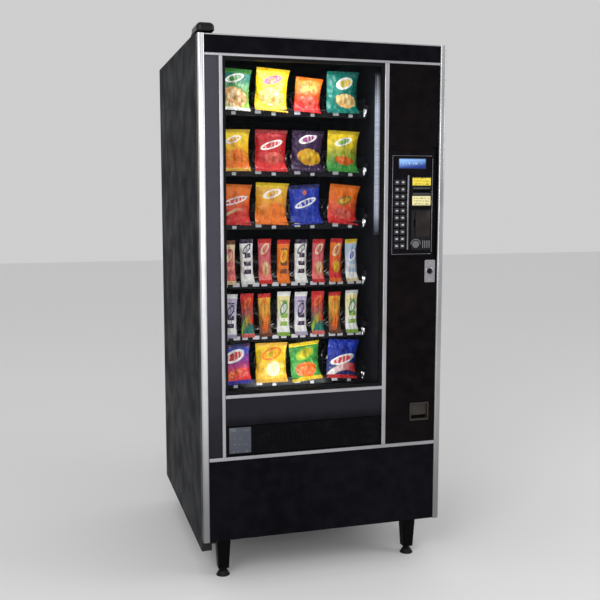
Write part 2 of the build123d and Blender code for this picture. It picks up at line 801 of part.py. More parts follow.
key_sink = 0.6
key_corner = 2.0
key_edge = 0.8
key_face_y = front_y + key_sink
for column in range(key_columns):
    for line in range(key_rows):
        centre_x = key_x0 + column * key_pitch_x
        centre_z = key_z0 - line * key_pitch_z
        with BuildPart() as key:
            with Locations((centre_x, key_face_y + key_thickness / 2, centre_z)):
                Box(key_size, key_thickness, key_size)
            fillet(key.edges().filter_by(Axis.Y), key_corner)
            fillet(key.edges().group_by(Axis.Y)[0], key_edge)
        save(key, f"key_{column * key_rows + line + 1:02d}")

reader_reach = 96.0
reader_body_inset = 21.0
reader_body_x1 = module_x1 - reader_body_inset
reader_sink = 1.5
slot_height = 6.0
slot_side = 4.0
slot_depth = 60.0
slot_mouth = 10.0
slot_mouth_depth = 6.0
slot_z = door_bottom + 1173.0
with BuildPart() as bill_validator:
    span(reader_x0, reader_x1, front_y + reader_sink, door_back_y, bill_z0, bill_z1)
    span(reader_x0, reader_body_x1, door_back_y, door_back_y + reader_reach, bill_z0, bill_z1)
    span(reader_x0 + slot_side, reader_x1 - slot_side, front_y, front_y + slot_depth,
         slot_z - slot_height / 2, slot_z + slot_height / 2, mode=Mode.SUBTRACT)
    span(reader_x0 + slot_side, reader_x1 - slot_side, front_y, front_y + slot_mouth_depth,
         slot_z - slot_mouth, slot_z + slot_mouth, mode=Mode.SUBTRACT)
save(bill_validator, "bill_validator")

button_inset = 18.0
coin_slot_inset = 12.0
coin_slot_width = 4.4
coin_slot_height = 28.0
coin_slot_depth = 40.0
button_hole_depth = 22.0
button_sink = 0.4
button_thickness = 14.0
button_round = 2.0
vent_count = 4
vent_pitch = 8.0
vent_width = 4.0
vent_depth = 5.0
vent_inset = 34.0
vent_low = 6.0
vent_high = 34.0
button_x = reader_x0 + button_inset
button_z = door_bottom + 990.0
coin_slot_x = reader_x0 + coin_slot_inset
coin_slot_z = door_bottom + 1062.0
with BuildPart() as coin_mechanism:
    span(reader_x0, reader_x1, front_y + reader_sink, door_back_y, coin_z0, coin_z1)
    span(reader_x0, reader_body_x1, door_back_y, door_back_y + reader_reach, coin_z0, coin_z1)
    span(coin_slot_x - coin_slot_width / 2, coin_slot_x + coin_slot_width / 2, front_y, front_y + coin_slot_depth,
         coin_slot_z - coin_slot_height / 2, coin_slot_z + coin_slot_height / 2, mode=Mode.SUBTRACT)
    with BuildSketch(Plane.XZ.offset(-front_y)):
        with Locations((button_x, button_z)):
            Circle(coin_button_radius + key_gap)
    extrude(amount=-button_hole_depth, mode=Mode.SUBTRACT)
    for slot in range(vent_count):
        vent_x = reader_x1 - vent_inset + slot * vent_pitch
        span(vent_x, vent_x + vent_width, front_y, front_y + vent_depth, coin_z0 + vent_low, coin_z0 + vent_high,
             mode=Mode.SUBTRACT)
save(coin_mechanism, "coin_mechanism")

with BuildPart() as coin_return_button:
    with BuildSketch(Plane.XZ.offset(-(front_y + button_sink))):
        with Locations((button_x, button_z)):
            Circle(coin_button_radius)
    extrude(amount=-button_thickness)
    fillet(coin_return_button.edges().group_by(Axis.Y)[0], button_round)
save(coin_return_button, "coin_return_button")

# ---------------------------------------------------------------- coin cup
cup_wall = 2.0
cup_flap_gap = 1.2
cup_proud = 1.0
cup_flap_inset = 5.0
cup_flap_sheet = 2.0
cup_flap_open = 16.0
cup_pin_radius = 1.5
cup_pin_setback = 3.0
cup_pin_drop = 4.0
cup_barrel_radius = 3.0
cup_face_y = panel_y - cup_proud
cup_flap_z1 = cup_z1 - cup_wall - cup_flap_gap
cup_flap_y = panel_y + cup_flap_inset
cup_axis_y = cup_flap_y + cup_pin_setback
cup_axis_z = cup_flap_z1 - cup_pin_drop
with BuildPart() as coin_cup:
    span(cup_x0, cup_x1, cup_face_y, cup_face_y + cup_depth, cup_z0, cup_z1)
    span(cup_x0 + cup_wall, cup_x1 - cup_wall, cup_face_y, cup_face_y + cup_depth - cup_wall,
         cup_z0 + cup_wall, cup_z1 - cup_wall, mode=Mode.SUBTRACT)
    with Locations(((cup_x0 + cup_x1) / 2, cup_axis_y, cup_axis_z)):
        Cylinder(cup_pin_radius, cup_width - 2 * cup_wall, rotation=(0, 90, 0))
save(coin_cup, "coin_cup")

with BuildPart() as coin_cup_flap:
    span(cup_x0 + cup_wall + cup_flap_gap, cup_x1 - cup_wall - cup_flap_gap, cup_flap_y,
         cup_flap_y + cup_flap_sheet, cup_z0 + cup_flap_open, cup_flap_z1)
    with Locations(((cup_x0 + cup_x1) / 2, cup_axis_y, cup_axis_z)):
        Cylinder(cup_barrel_radius, cup_width - 2 * cup_wall - 2 * cup_flap_gap, rotation=(0, 90, 0))
        Cylinder(cup_pin_radius + running_fit, cup_width, rotation=(0, 90, 0), mode=Mode.SUBTRACT)
save(coin_cup_flap, "coin_cup_flap")

# ---------------------------------------------------------------- lock
plate_left = 788.0
plate_width = 39.0
plate_height = 78.0
plate_corner = 4.0
plate_thickness = 3.0
barrel_proud = 2.0
keyway_width = 2.4
keyway_height = 10.0
keyway_depth = 6.0
cam_gap = 4.0
cam_sheet = 4.0
cam_half = 8.0
lock_face_y = panel_y - plate_thickness - barrel_proud
plate_mid_x = plate_left + plate_width / 2 - half_width
with BuildPart() as lock_plate:
    with BuildSketch(Plane.XZ.offset(-panel_y)):
        with Locations((plate_mid_x, lock_level)):
            RectangleRounded(plate_width, plate_height, plate_corner)
        with Locations((lock_x, lock_level)):
            Circle(lock_radius + running_fit, mode=Mode.SUBTRACT)
    extrude(amount=plate_thickness)
save(lock_plate, "lock_plate")

cam_y = cabinet_y + sheet + cam_gap
with BuildPart() as door_lock:
    with BuildSketch(Plane.XZ.offset(-lock_face_y)):
        with Locations((lock_x, lock_level)):
            Circle(lock_radius)
    extrude(amount=-(cam_y - lock_face_y))
    span(lock_x - keyway_width / 2, lock_x + keyway_width / 2, front_y, lock_face_y + keyway_depth,
         lock_level - keyway_height / 2, lock_level + keyway_height / 2, mode=Mode.SUBTRACT)
    span(lock_x - cam_half, lock_x + cam_half, cam_y, cam_y + cam_sheet,
         lock_level - cam_reach, lock_level + cam_half)
save(door_lock, "door_lock")
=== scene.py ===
"""Looks of a glass-front snack vending machine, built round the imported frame."""

from __future__ import annotations

import logging
import math
import random
from dataclasses import dataclass
from enum import Enum
from typing import Iterable, Sequence, Union

import bmesh
import bpy
from mathutils import Matrix, Vector, noise


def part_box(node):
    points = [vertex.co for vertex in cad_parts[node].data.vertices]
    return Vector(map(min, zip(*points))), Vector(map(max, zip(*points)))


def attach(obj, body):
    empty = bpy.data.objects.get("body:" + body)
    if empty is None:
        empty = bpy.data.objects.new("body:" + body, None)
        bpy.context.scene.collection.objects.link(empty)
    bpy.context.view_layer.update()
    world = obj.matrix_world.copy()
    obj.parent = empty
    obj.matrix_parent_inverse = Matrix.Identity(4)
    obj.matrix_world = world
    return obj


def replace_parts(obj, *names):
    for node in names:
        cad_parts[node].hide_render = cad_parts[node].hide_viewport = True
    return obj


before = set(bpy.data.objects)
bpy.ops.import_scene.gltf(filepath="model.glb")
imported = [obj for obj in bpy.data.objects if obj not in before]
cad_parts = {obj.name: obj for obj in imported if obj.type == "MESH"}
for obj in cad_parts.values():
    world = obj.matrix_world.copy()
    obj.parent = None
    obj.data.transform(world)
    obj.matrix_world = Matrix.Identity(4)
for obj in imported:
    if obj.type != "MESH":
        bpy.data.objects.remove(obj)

LOG = logging.getLogger("vending_machine")
MM = 0.001
Colour = tuple[float, float, float]
Place = tuple[float, float, float]


def toned(colour: Colour, share: float, lift: float = 0.0) -> Colour:
    """Scale a colour and lift it, stopping at full brightness.

    Args:
        colour: the colour to change.
        share: what each channel is multiplied by.
        lift: what each channel gains after that.

    Returns:
        The new colour.
    """
    return tuple(min(1.0, channel * share + lift) for channel in colour)


def add_object(name: str, data: bpy.types.ID) -> bpy.types.Object:
    """Put a new object into the scene, at the origin."""
    made = bpy.data.objects.new(name, data)
    bpy.context.scene.collection.objects.link(made)
    return made


# ---------------------------------------------------------------- shader maths
class Signal:
    """One output of a material's nodes, with arithmetic that adds Math nodes."""

    def __init__(self, recipe: "Recipe", socket: bpy.types.NodeSocket) -> None:
        """Keep the recipe that owns the socket, and the socket."""
        self.recipe = recipe
        self.socket = socket

    def _math(self, operation: str, left: "Number", right: "Number") -> "Signal":
        """Add one Math node with two inputs."""
        return self.recipe.node("ShaderNodeMath", {"operation": operation}, {0: left, 1: right})

    def __add__(self, other: "Number") -> "Signal":
        """Add."""
        return self._math("ADD", self, other)

    def __radd__(self, other: "Number") -> "Signal":
        """Add, with the plain number first."""
        return self._math("ADD", other, self)

    def __sub__(self, other: "Number") -> "Signal":
        """Subtract."""
        return self._math("SUBTRACT", self, other)

    def __rsub__(self, other: "Number") -> "Signal":
        """Subtract from a plain number."""
        return self._math("SUBTRACT", other, self)

    def __mul__(self, other: "Number") -> "Signal":
        """Multiply."""
        return self._math("MULTIPLY", self, other)

    def __rmul__(self, other: "Number") -> "Signal":
        """Multiply, with the plain number first."""
        return self._math("MULTIPLY", other, self)

    def __truediv__(self, other: "Number") -> "Signal":
        """Divide."""
        return self._math("DIVIDE", self, other)

    def __lt__(self, other: "Number") -> "Signal":
        """Give 1 where this is the smaller."""
        return self._math("LESS_THAN", self, other)

    def __gt__(self, other: "Number") -> "Signal":
        """Give 1 where this is the larger."""
        return self._math("GREATER_THAN", self, other)


Number = Union[float, Signal]
Paint = Union[Colour, Signal]


class Recipe:
    """A material in the making: its nodes, and the shader they feed."""

    def __init__(self, name: str, **constants: object) -> None:
        """Start a material.

        Args:
            name: the material's name.
            constants: shader sockets set once, with underscores for spaces.
        """
        self.material = bpy.data.materials.new(name)
        self.material.use_nodes = True
        self.tree = self.material.node_tree
        self.shader = self.tree.nodes["Principled BSDF"]
        for key, value in constants.items():
            self.feed(key.replace("_", " "), value)

    def feed(self, socket: str, value: object) -> None:
        """Set or link one of the shader's sockets.

        Args:
            socket: the socket's name.
            value: a number, a colour or a signal.
        """
        self._put(self.shader.inputs[socket], value)

    def _put(self, target: bpy.types.NodeSocket, value: object) -> None:
        """Link a signal to a socket, or store a plain value in it."""
        if isinstance(value, Signal):
            self.tree.links.new(value.socket, target)
        elif target.type == "RGBA" and len(value) == 3:
            target.default_value = (*value, 1.0)
        else:
            target.default_value = value

    def node(self, kind: str, settings: dict | None = None, inputs: dict | None = None,
             output: int | str = 0) -> Signal:
        """Add any node.

        Args:
            kind: the node's type.
            settings: its properties, set first.
            inputs: values or signals for its sockets, by name or number.
            output: the output that the signal stands for.

        Returns:
            The chosen output as a signal.
        """
        made = self.tree.nodes.new(kind)
        for key, value in (settings or {}).items():
            setattr(made, key, value)
        for key, value in (inputs or {}).items():
            self._put(made.inputs[key], value)
        return Signal(self, made.outputs[output])

    def curve(self, operation: str, value: Signal) -> Signal:
        """Add a Math node with one input, such as FRACT or SINE."""
        return self.node("ShaderNodeMath", {"operation": operation}, {0: value})

    def vector(self, operation: str, left: Signal, right: Place) -> Signal:
        """Add a Vector Math node that works on a vector and three numbers."""
        return self.node("ShaderNodeVectorMath", {"operation": operation}, {0: left, 1: right})

    def place(self) -> Signal:
        """Give the object coordinates, in metres."""
        return self.node("ShaderNodeTexCoord", output="Object")

    def stretched(self, factors: Place, shift: Place = (0.0, 0.0, 0.0)) -> Signal:
        """Give object coordinates scaled by three factors after a shift."""
        return self.vector("MULTIPLY", self.vector("SUBTRACT", self.place(), shift), factors)

    def axes(self, vector: Signal | None = None) -> tuple[Signal, Signal, Signal]:
        """Split a vector, or the object coordinates, into three signals."""
        source = vector or self.place()
        return tuple(self.node("ShaderNodeSeparateXYZ", None, {0: source}, name) for name in "XYZ")

    def grain(self, scale: float, detail: float = 2.0, vector: Signal | None = None) -> Signal:
        """Give smooth noise between 0 and 1."""
        inputs = {"Vector": vector or self.place(), "Scale": scale, "Detail": detail}
        return self.node("ShaderNodeTexNoise", None, inputs)

    def cells(self, scale: float, vector: Signal | None = None, output: str = "Distance") -> Signal:
        """Give cell noise: the distance to a cell's middle, or its colour."""
        inputs = {"Vector": vector or self.place(), "Scale": scale}
        return self.node("ShaderNodeTexVoronoi", None, inputs, output)

    def smooth(self, value: Number, low: float, high: float, start: float = 0.0,
               end: float = 1.0) -> Signal:
        """Rise smoothly from start to end as value goes from low to high."""
        inputs = {"Value": value, "From Min": low, "From Max": high, "To Min": start, "To Max": end}
        return self.node("ShaderNodeMapRange", {"interpolation_type": "SMOOTHSTEP"}, inputs)

    def mix(self, amount: Number, first: Paint, second: Paint) -> Signal:
        """Blend two colours."""
        return self.node("ShaderNodeMix", {"data_type": "RGBA"}, {0: amount, 6: first, 7: second},
                         2)

    def bump(self, height: Signal, strength: float, distance: float) -> None:
        """Raise the surface by a height signal and feed the shader's normal."""
        inputs = {"Height": height, "Strength": strength, "Distance": distance}
        self.feed("Normal", self.node("ShaderNodeBump", None, inputs))

    def window(self, value: Signal, low: float, high: float) -> Signal:
        """Give 1 where a value is between two limits."""
        return (value > low) * (value < high)


# ---------------------------------------------------------------- finishes
@dataclass(frozen=True)
class PowderCoat:
    """Sprayed paint with a fine orange-peel skin and a little dust low down."""

    name: str
    colour: Colour
    rough: float = 0.5
    peel: float = 0.25
    grain_scale: float = 420.0
    gloss: float = 0.3
    dust_height: float = 0.22

    def make(self) -> bpy.types.Material:
        """Build the material."""
        mix = Recipe(self.name, Specular_IOR_Level=self.gloss)
        lighter = toned(self.colour, 1.7, 0.006)
        darker = toned(self.colour, 0.84)
        cloud = mix.grain(2.6, 4.0)
        speck = mix.grain(self.grain_scale, 2.0)
        base = mix.mix(mix.smooth(cloud, 0.34, 0.68), darker, self.colour)
        base = mix.mix(mix.smooth(speck, 0.52, 0.74) * 0.45, base, lighter)
        height = mix.axes()[2]
        patches = mix.smooth(mix.grain(14.0, 5.0), 0.35, 0.8)
        dust = mix.smooth(height, self.dust_height, 0.0) * patches
        base = mix.mix(dust * 0.3, base, (0.16, 0.15, 0.14))
        mix.feed("Base Color", base)
        dull = mix.smooth(mix.grain(9.0, 4.0), 0.3, 0.75, self.rough - 0.07, self.rough + 0.1)
        mix.feed("Roughness", dull)
        mix.bump(speck, self.peel, 0.0006)
        return mix.material


@dataclass(frozen=True)
class PebbledSkin:
    """Dark moulded or laminated skin with a leathery pebble, a faint mottle and optional zones of
    painted sheen.
    """

    name: str
    colour: Colour
    tint: Colour
    rough: float = 0.46
    pebble: float = 330.0
    depth: float = 0.35
    gloss: float = 0.08
    sheen_zones: tuple[tuple[float, float, float, float, Colour], ...] = ()

    def make(self) -> bpy.types.Material:
        """Build the material."""
        mix = Recipe(self.name, Specular_IOR_Level=self.gloss)
        pebbles = mix.cells(self.pebble)
        mottle = mix.grain(26.0, 5.0)
        drift = mix.grain(2.2, 3.0)
        base = mix.mix(mix.smooth(mottle, 0.35, 0.7), self.colour, self.tint)
        base = mix.mix(mix.smooth(drift, 0.4, 0.75) * 0.5, base, toned(self.tint, 1.5))
        x, _, z = mix.axes()
        # painted sheen: each zone is lightened towards its own colour, fading in from its lower
        # edge to a little below its middle
        for left, right, low, high, colour in self.sheen_zones:
            inside = mix.window(x, left * MM, right * MM) * mix.window(z, low * MM, high * MM)
            ends = mix.smooth(z, low * MM, (low * 0.55 + high * 0.45) * MM)
            tone = mix.mix(mottle, toned(colour, 0.8), colour)
            base = mix.mix(inside * (0.25 + ends * 0.75), base, tone)
        base = mix.mix(mix.smooth(pebbles, 0.0, 0.35) * 0.35, base, toned(self.colour, 0.4))
        mix.feed("Base Color", base)
        mix.feed("Roughness", mix.smooth(mottle, 0.3, 0.7, self.rough - 0.06, self.rough + 0.08))
        mix.bump(mix.smooth(pebbles, 0.05, 0.6) + mottle * 0.3, self.depth, 0.0005)
        return mix.material


@dataclass(frozen=True)
class BrushedMetal:
    """Metal with a brushed or drawn grain along one direction, with optional painted shade low down
    and towards the right.
    """

    name: str
    colour: Colour
    stretch: Place = (900.0, 900.0, 6.0)
    rough: float = 0.3
    tarnish: float = 0.25
    low_shade: float = 0.0
    far_shade: float = 0.0

    def make(self) -> bpy.types.Material:
        """Build the material."""
        mix = Recipe(self.name, Metallic=1.0)
        lines = mix.grain(1.0, 2.0, mix.stretched(self.stretch))
        cloud = mix.grain(5.0, 4.0)
        dull = toned(self.colour, 0.62)
        base = mix.mix(mix.smooth(cloud, 0.45, 0.8) * self.tarnish * 2.0, self.colour, dull)
        base = mix.mix(mix.smooth(lines, 0.3, 0.8) * 0.25, base, toned(self.colour, 0.8))
        # painted shade: the colour is darkened towards the bottom (low_shade) and towards the
        # right-hand side (far_shade), standing in for how light falls on the metal
        if self.low_shade > 0.0:
            shade = mix.smooth(mix.axes()[2], 0.85, 0.2) * self.low_shade
            base = mix.mix(shade, base, toned(self.colour, 0.3))
        if self.far_shade > 0.0:
            far = mix.smooth(mix.axes()[0], -0.1, 0.1) * self.far_shade
            base = mix.mix(far, base, toned(self.colour, 0.3))
        mix.feed("Base Color", base)
        mix.feed("Roughness", mix.smooth(lines, 0.25, 0.8, self.rough - 0.08, self.rough + 0.14))
        mix.bump(lines, 0.08, 0.0002)
        return mix.material


@dataclass(frozen=True)
class MouldedPlastic:
    """Moulded plastic or rubber with fine texture and handling marks."""

    name: str
    colour: Colour
    rough: float = 0.35
    texture: float = 0.12
    gloss: float = 0.45
    wear: float = 0.35

    def make(self) -> bpy.types.Material:
        """Build the material."""
        mix = Recipe(self.name, Specular_IOR_Level=self.gloss)
        fine = mix.grain(700.0, 2.0)
        smear = mix.grain(30.0, 5.0)
        pale = toned(self.colour, 1.6, 0.01)
        mix.feed("Base Color", mix.mix(mix.smooth(smear, 0.5, 0.85) * self.wear, self.colour, pale))
        mix.feed("Roughness", mix.smooth(smear, 0.3, 0.75, self.rough - 0.08, self.rough + 0.12))
        mix.bump(fine, self.texture, 0.0003)
        return mix.material


@dataclass(frozen=True)
class WindowGlass:
    """Clear pane with a faint film of finger smears."""

    name: str = "window_pane"

    def make(self) -> bpy.types.Material:
        """Build the material."""
        mix = Recipe(self.name, Base_Color=(0.02, 0.024, 0.028), IOR=1.45, Specular_IOR_Level=0.5)
        smear = mix.grain(3.0, 5.0)
        mix.feed("Alpha", mix.smooth(smear, 0.4, 0.85, 0.035, 0.07))
        mix.feed("Roughness", mix.smooth(smear, 0.4, 0.8, 0.03, 0.14))
        return mix.material


@dataclass(frozen=True)
class BlueDisplay:
    """Back-lit display, paler at its upper left, with a faint line of blocks."""

    left: float
    right: float
    low: float
    high: float
    front: float
    name: str = "blue_display"

    def make(self) -> bpy.types.Material:
        """Build the material."""
        mix = Recipe(self.name, Roughness=0.15, Emission_Strength=0.58)
        x, y, z = mix.axes()
        across = (x - self.left) / (self.right - self.left)
        up = (z - self.low) / (self.high - self.low)
        glow = mix.smooth(up - across * 0.35, -0.1, 0.85)
        tone = mix.mix(glow, (0.004, 0.018, 0.16), (0.19, 0.36, 0.66))
        edge = mix.smooth(up, 0.0, 0.16) * mix.smooth(up, 1.0, 0.84) * mix.smooth(across, 0.0, 0.05)
        edge = edge * mix.smooth(across, 1.0, 0.95) * mix.smooth(y, self.front + 0.004,
                                                                 self.front + 0.001)
        column = mix.curve("FRACT", across * 16.0)
        blocks = mix.window(column, 0.28, 0.72) * mix.window(up, 0.42, 0.6)
        blocks = blocks * mix.window(across, 0.16, 0.84)
        blocks = blocks * (mix.cells(1.0, mix.stretched((157.0, 1.0, 60.0)), "Color") > 0.42)
        tone = mix.mix(blocks * 0.45, tone, (0.75, 0.92, 1.0))
        tone = mix.mix(edge, (0.003, 0.006, 0.02), tone)
        mix.feed("Base Color", tone)
        mix.feed("Emission Color", tone)
        return mix.material


@dataclass(frozen=True)
class KeyCap:
    """Black key face with a short pale legend bar on every key."""

    first_x: float
    first_z: float
    pitch_x: float
    pitch_z: float
    name: str = "key_cap"

    def make(self) -> bpy.types.Material:
        """Build the material."""
        mix = Recipe(self.name, Specular_IOR_Level=0.4)
        x, _, z = mix.axes()
        column = mix.curve("FRACT", (x - self.first_x) / self.pitch_x + 10.5)
        line = mix.curve("FRACT", (z - self.first_z) / self.pitch_z + 20.5)
        bar = mix.window(column, 0.32, 0.68) * mix.window(line, 0.4, 0.62)
        wear = mix.smooth(mix.grain(160.0, 4.0), 0.38, 0.55)
        rim = mix.window(column, 0.19, 0.81) * mix.window(line, 0.22, 0.78)
        base = mix.mix(rim, (0.045, 0.045, 0.05), (0.014, 0.014, 0.017))
        mix.feed("Base Color", mix.mix(bar * (0.55 + wear * 0.35), base, (0.62, 0.63, 0.66)))
        mix.feed("Roughness", mix.smooth(mix.grain(60.0, 3.0), 0.3, 0.7, 0.28, 0.45))
        mix.bump(mix.grain(900.0, 1.0), 0.08, 0.0002)
        return mix.material


@dataclass(frozen=True)
class PrintedCard:
    """Printed plastic card: a ground colour with rows of generic marks, no lettering."""

    name: str
    ground: Colour
    mark: Colour
    cell: tuple[float, float]
    shift: Place
    fill: float = 0.5
    shine: float = 0.3

    def make(self) -> bpy.types.Material:
        """Build the material."""
        mix = Recipe(self.name, Specular_IOR_Level=0.4)
        grid = mix.stretched((1.0 / self.cell[0], 0.0, 1.0 / self.cell[1]), self.shift)
        across, _, up = mix.axes(grid)
        row = mix.curve("FRACT", up)
        lines = mix.window(row, 0.3, 0.62)
        gaps = mix.grain(2.3, 1.0, mix.vector("MULTIPLY", grid, (3.0, 1.0, 0.9)))
        marks = lines * (gaps < self.fill) * mix.window(across, 0.08, 0.92)
        soft = mix.grain(45.0, 4.0)
        base = mix.mix(mix.smooth(soft, 0.35, 0.8) * 0.25, self.ground, toned(self.ground, 0.7))
        mix.feed("Base Color", mix.mix(marks * 0.85, base, self.mark))
        mix.feed("Roughness", mix.smooth(soft, 0.3, 0.7, self.shine, self.shine + 0.15))
        mix.bump(mix.grain(500.0, 1.0), 0.05, 0.0002)
        return mix.material


@dataclass(frozen=True)
class TubeGlow:
    """Opal lamp diffuser, lit, that fades towards both ends of its length."""

    low: float
    high: float
    name: str = "lamp_diffuser"

    def make(self) -> bpy.types.Material:
        """Build the material."""
        mix = Recipe(self.name, Roughness=0.3, Emission_Strength=0.5)
        height = mix.axes()[2]
        ends = mix.smooth(height, self.low, self.low + 0.1)
        ends = ends * mix.smooth(height, self.high, self.high - 0.14)
        ribs = mix.smooth(mix.grain(1.0, 1.0, mix.stretched((3.0, 3.0, 240.0))), 0.35, 0.65)
        tone = mix.mix(ends * (0.75 + ribs * 0.25), (0.03, 0.035, 0.045), (0.34, 0.38, 0.46))
        mix.feed("Base Color", tone)
        mix.feed("Emission Color", tone)
        return mix.material


class Figure(Enum):
    """Generic picture printed on a pack."""

    HEAP = "heap"
    DISC = "disc"
    BURST = "burst"
    SWEEP = "sweep"
    BLOCKS = "blocks"


@dataclass(frozen=True)
class PackPrint:
    """Printed film of one kind of pack: a ground, two end bands, a badge and a picture, with
    painted shade and highlights on its crumples.
    """

    name: str
    low: Colour
    high: Colour
    head: Colour
    foot: Colour
    badge: Colour
    centre: Colour
    figure: Figure
    figure_colour: Colour
    badge_at: tuple[float, float] = (0.5, 0.62)
    badge_size: tuple[float, float] = (0.34, 0.15)
    figure_at: tuple[float, float] = (0.5, 0.28)
    figure_size: tuple[float, float] = (0.36, 0.2)
    head_height: float = 0.10
    foot_height: float = 0.08
    tilt: float = 0.25
    rough: float = 0.24

    def _oval(self, mix: Recipe, u: Signal, v: Signal, middle: tuple[float, float],
              size: tuple[float, float], tilt: float) -> Signal:
        """Give a soft-edged tilted oval that is 1 inside and 0 outside."""
        across, up = u - middle[0], v - middle[1]
        turned = across * math.cos(tilt) + up * math.sin(tilt)
        risen = up * math.cos(tilt) - across * math.sin(tilt)
        radius = (turned / size[0]) * (turned / size[0]) + (risen / size[1]) * (risen / size[1])
        return mix.smooth(radius, 1.06, 0.94)

    def _picture(self, mix: Recipe, u: Signal, v: Signal, flat: Signal) -> tuple[Signal, Paint]:
        """Give the picture's mask and its colour."""
        middle, size = self.figure_at, self.figure_size
        dark = tuple(c * share for c, share in zip(self.figure_colour, (0.75, 0.5, 0.35)))
        if self.figure is Figure.DISC:
            mask = self._oval(mix, u, v, middle, (size[1] * 1.1, size[1]), 0.0)
            speck = mix.smooth(mix.cells(26.0, flat), 0.1, 0.4)
            return mask, mix.mix(speck, dark, self.figure_colour)
        if self.figure is Figure.BURST:
            wobble = mix.grain(7.0, 1.0, flat)
            mask = self._oval(mix, u + (wobble - 0.5) * 0.3, v, middle, size, 0.9)
            rise = mix.smooth(v, middle[1] - 0.15, middle[1] + 0.15)
            return mask, mix.mix(rise, dark, self.figure_colour)
        if self.figure is Figure.SWEEP:
            wave = v - middle[1] - (u - 0.5) * (0.5 - u) * 0.7 - (u - 0.5) * 0.25
            outer, inner = size[1] * 0.6, size[1] * 0.4
            mask = mix.smooth(wave, -outer, -inner) * mix.smooth(wave, outer, inner)
            return mask, mix.mix(mix.smooth(u, 0.0, 1.0), self.figure_colour, self.centre)
        if self.figure is Figure.BLOCKS:
            row = mix.curve("FRACT", v * 5.5)
            mask = mix.window(row, 0.22, 0.78) * mix.window(u, 0.22, 0.8) * mix.window(v, 0.2, 0.8)
            mask = mask * (mix.cells(6.0, flat, "Color") > 0.3)
            return mask, self.figure_colour
        heap = self._oval(mix, u, v + (mix.grain(9.0, 1.0, flat) - 0.5) * 0.12, middle, size, -0.1)
        chips = mix.cells(7.0, flat)
        shade = mix.mix(mix.smooth(chips, 0.15, 0.62), self.figure_colour, dark)
        return heap, shade

    def make(self) -> bpy.types.Material:
        """Build the material."""
        mix = Recipe(self.name, Specular_IOR_Level=0.42)
        flat = mix.node("ShaderNodeUVMap")
        u, v, _ = mix.axes(flat)
        rise = mix.smooth(v + (mix.grain(4.0, 2.0, flat) - 0.5) * 0.25, 0.12, 0.88)
        tone = mix.mix(rise, self.low, self.high)
        mask, picture = self._picture(mix, u, v, flat)
        tone = mix.mix(mask, tone, picture)
        rim = self._oval(mix, u, v, self.badge_at, self.badge_size, self.tilt)
        inner_size = (self.badge_size[0] * 0.78, self.badge_size[1] * 0.62)
        inner = self._oval(mix, u, v, self.badge_at, inner_size, self.tilt)
        wobble = (mix.grain(5.0, 1.0, flat) - 0.5) * 0.2
        stripe = (u - self.badge_at[0]) * math.cos(self.tilt) + wobble
        wave = mix.curve("SINE", stripe * 46.0)
        tone = mix.mix(rim, tone, self.badge)
        tone = mix.mix(inner * (0.45 + 0.55 * (wave > -0.2)), tone, self.centre)
        tone = mix.mix(v > 1.0 - self.head_height, tone, self.head)
        tone = mix.mix(v < self.foot_height, tone, self.foot)
        crimp = mix.curve("SINE", v * 420.0)
        seal = (v > 0.94) + (v < 0.06)
        crease_relief_and_glint = mix.grain(70.0, 3.0)
        facet_relief_and_shade = mix.grain(5.0, 3.0, flat)
        # painted shade and painted highlight: some facets are darkened and others lightened,
        # standing in for light on the crumpled film
        tone = mix.mix(mix.smooth(facet_relief_and_shade, 0.52, 0.30) * 0.55, tone, toned(self.low, 0.35))
        tone = mix.mix(mix.smooth(facet_relief_and_shade, 0.60, 0.74) * 0.35, tone, toned(self.high, 1.5, 0.03))
        # painted highlight: small white glints on the creases
        tone = mix.mix(mix.smooth(crease_relief_and_glint, 0.62, 0.8) * 0.12, tone, (1.0, 1.0, 1.0))
        mix.feed("Base Color", tone)
        mix.feed("Roughness", mix.smooth(crease_relief_and_glint, 0.3, 0.75, self.rough - 0.08, self.rough + 0.14))
        mix.bump(crease_relief_and_glint * 0.7 + facet_relief_and_shade * 5.0 + crimp * seal * 0.25, 1.0, 0.0022)
        return mix.material


# ---------------------------------------------------------------- mesh helpers
ROUNDING_LIMIT = 0.45  # the most of a box's shortest side that its rounding takes


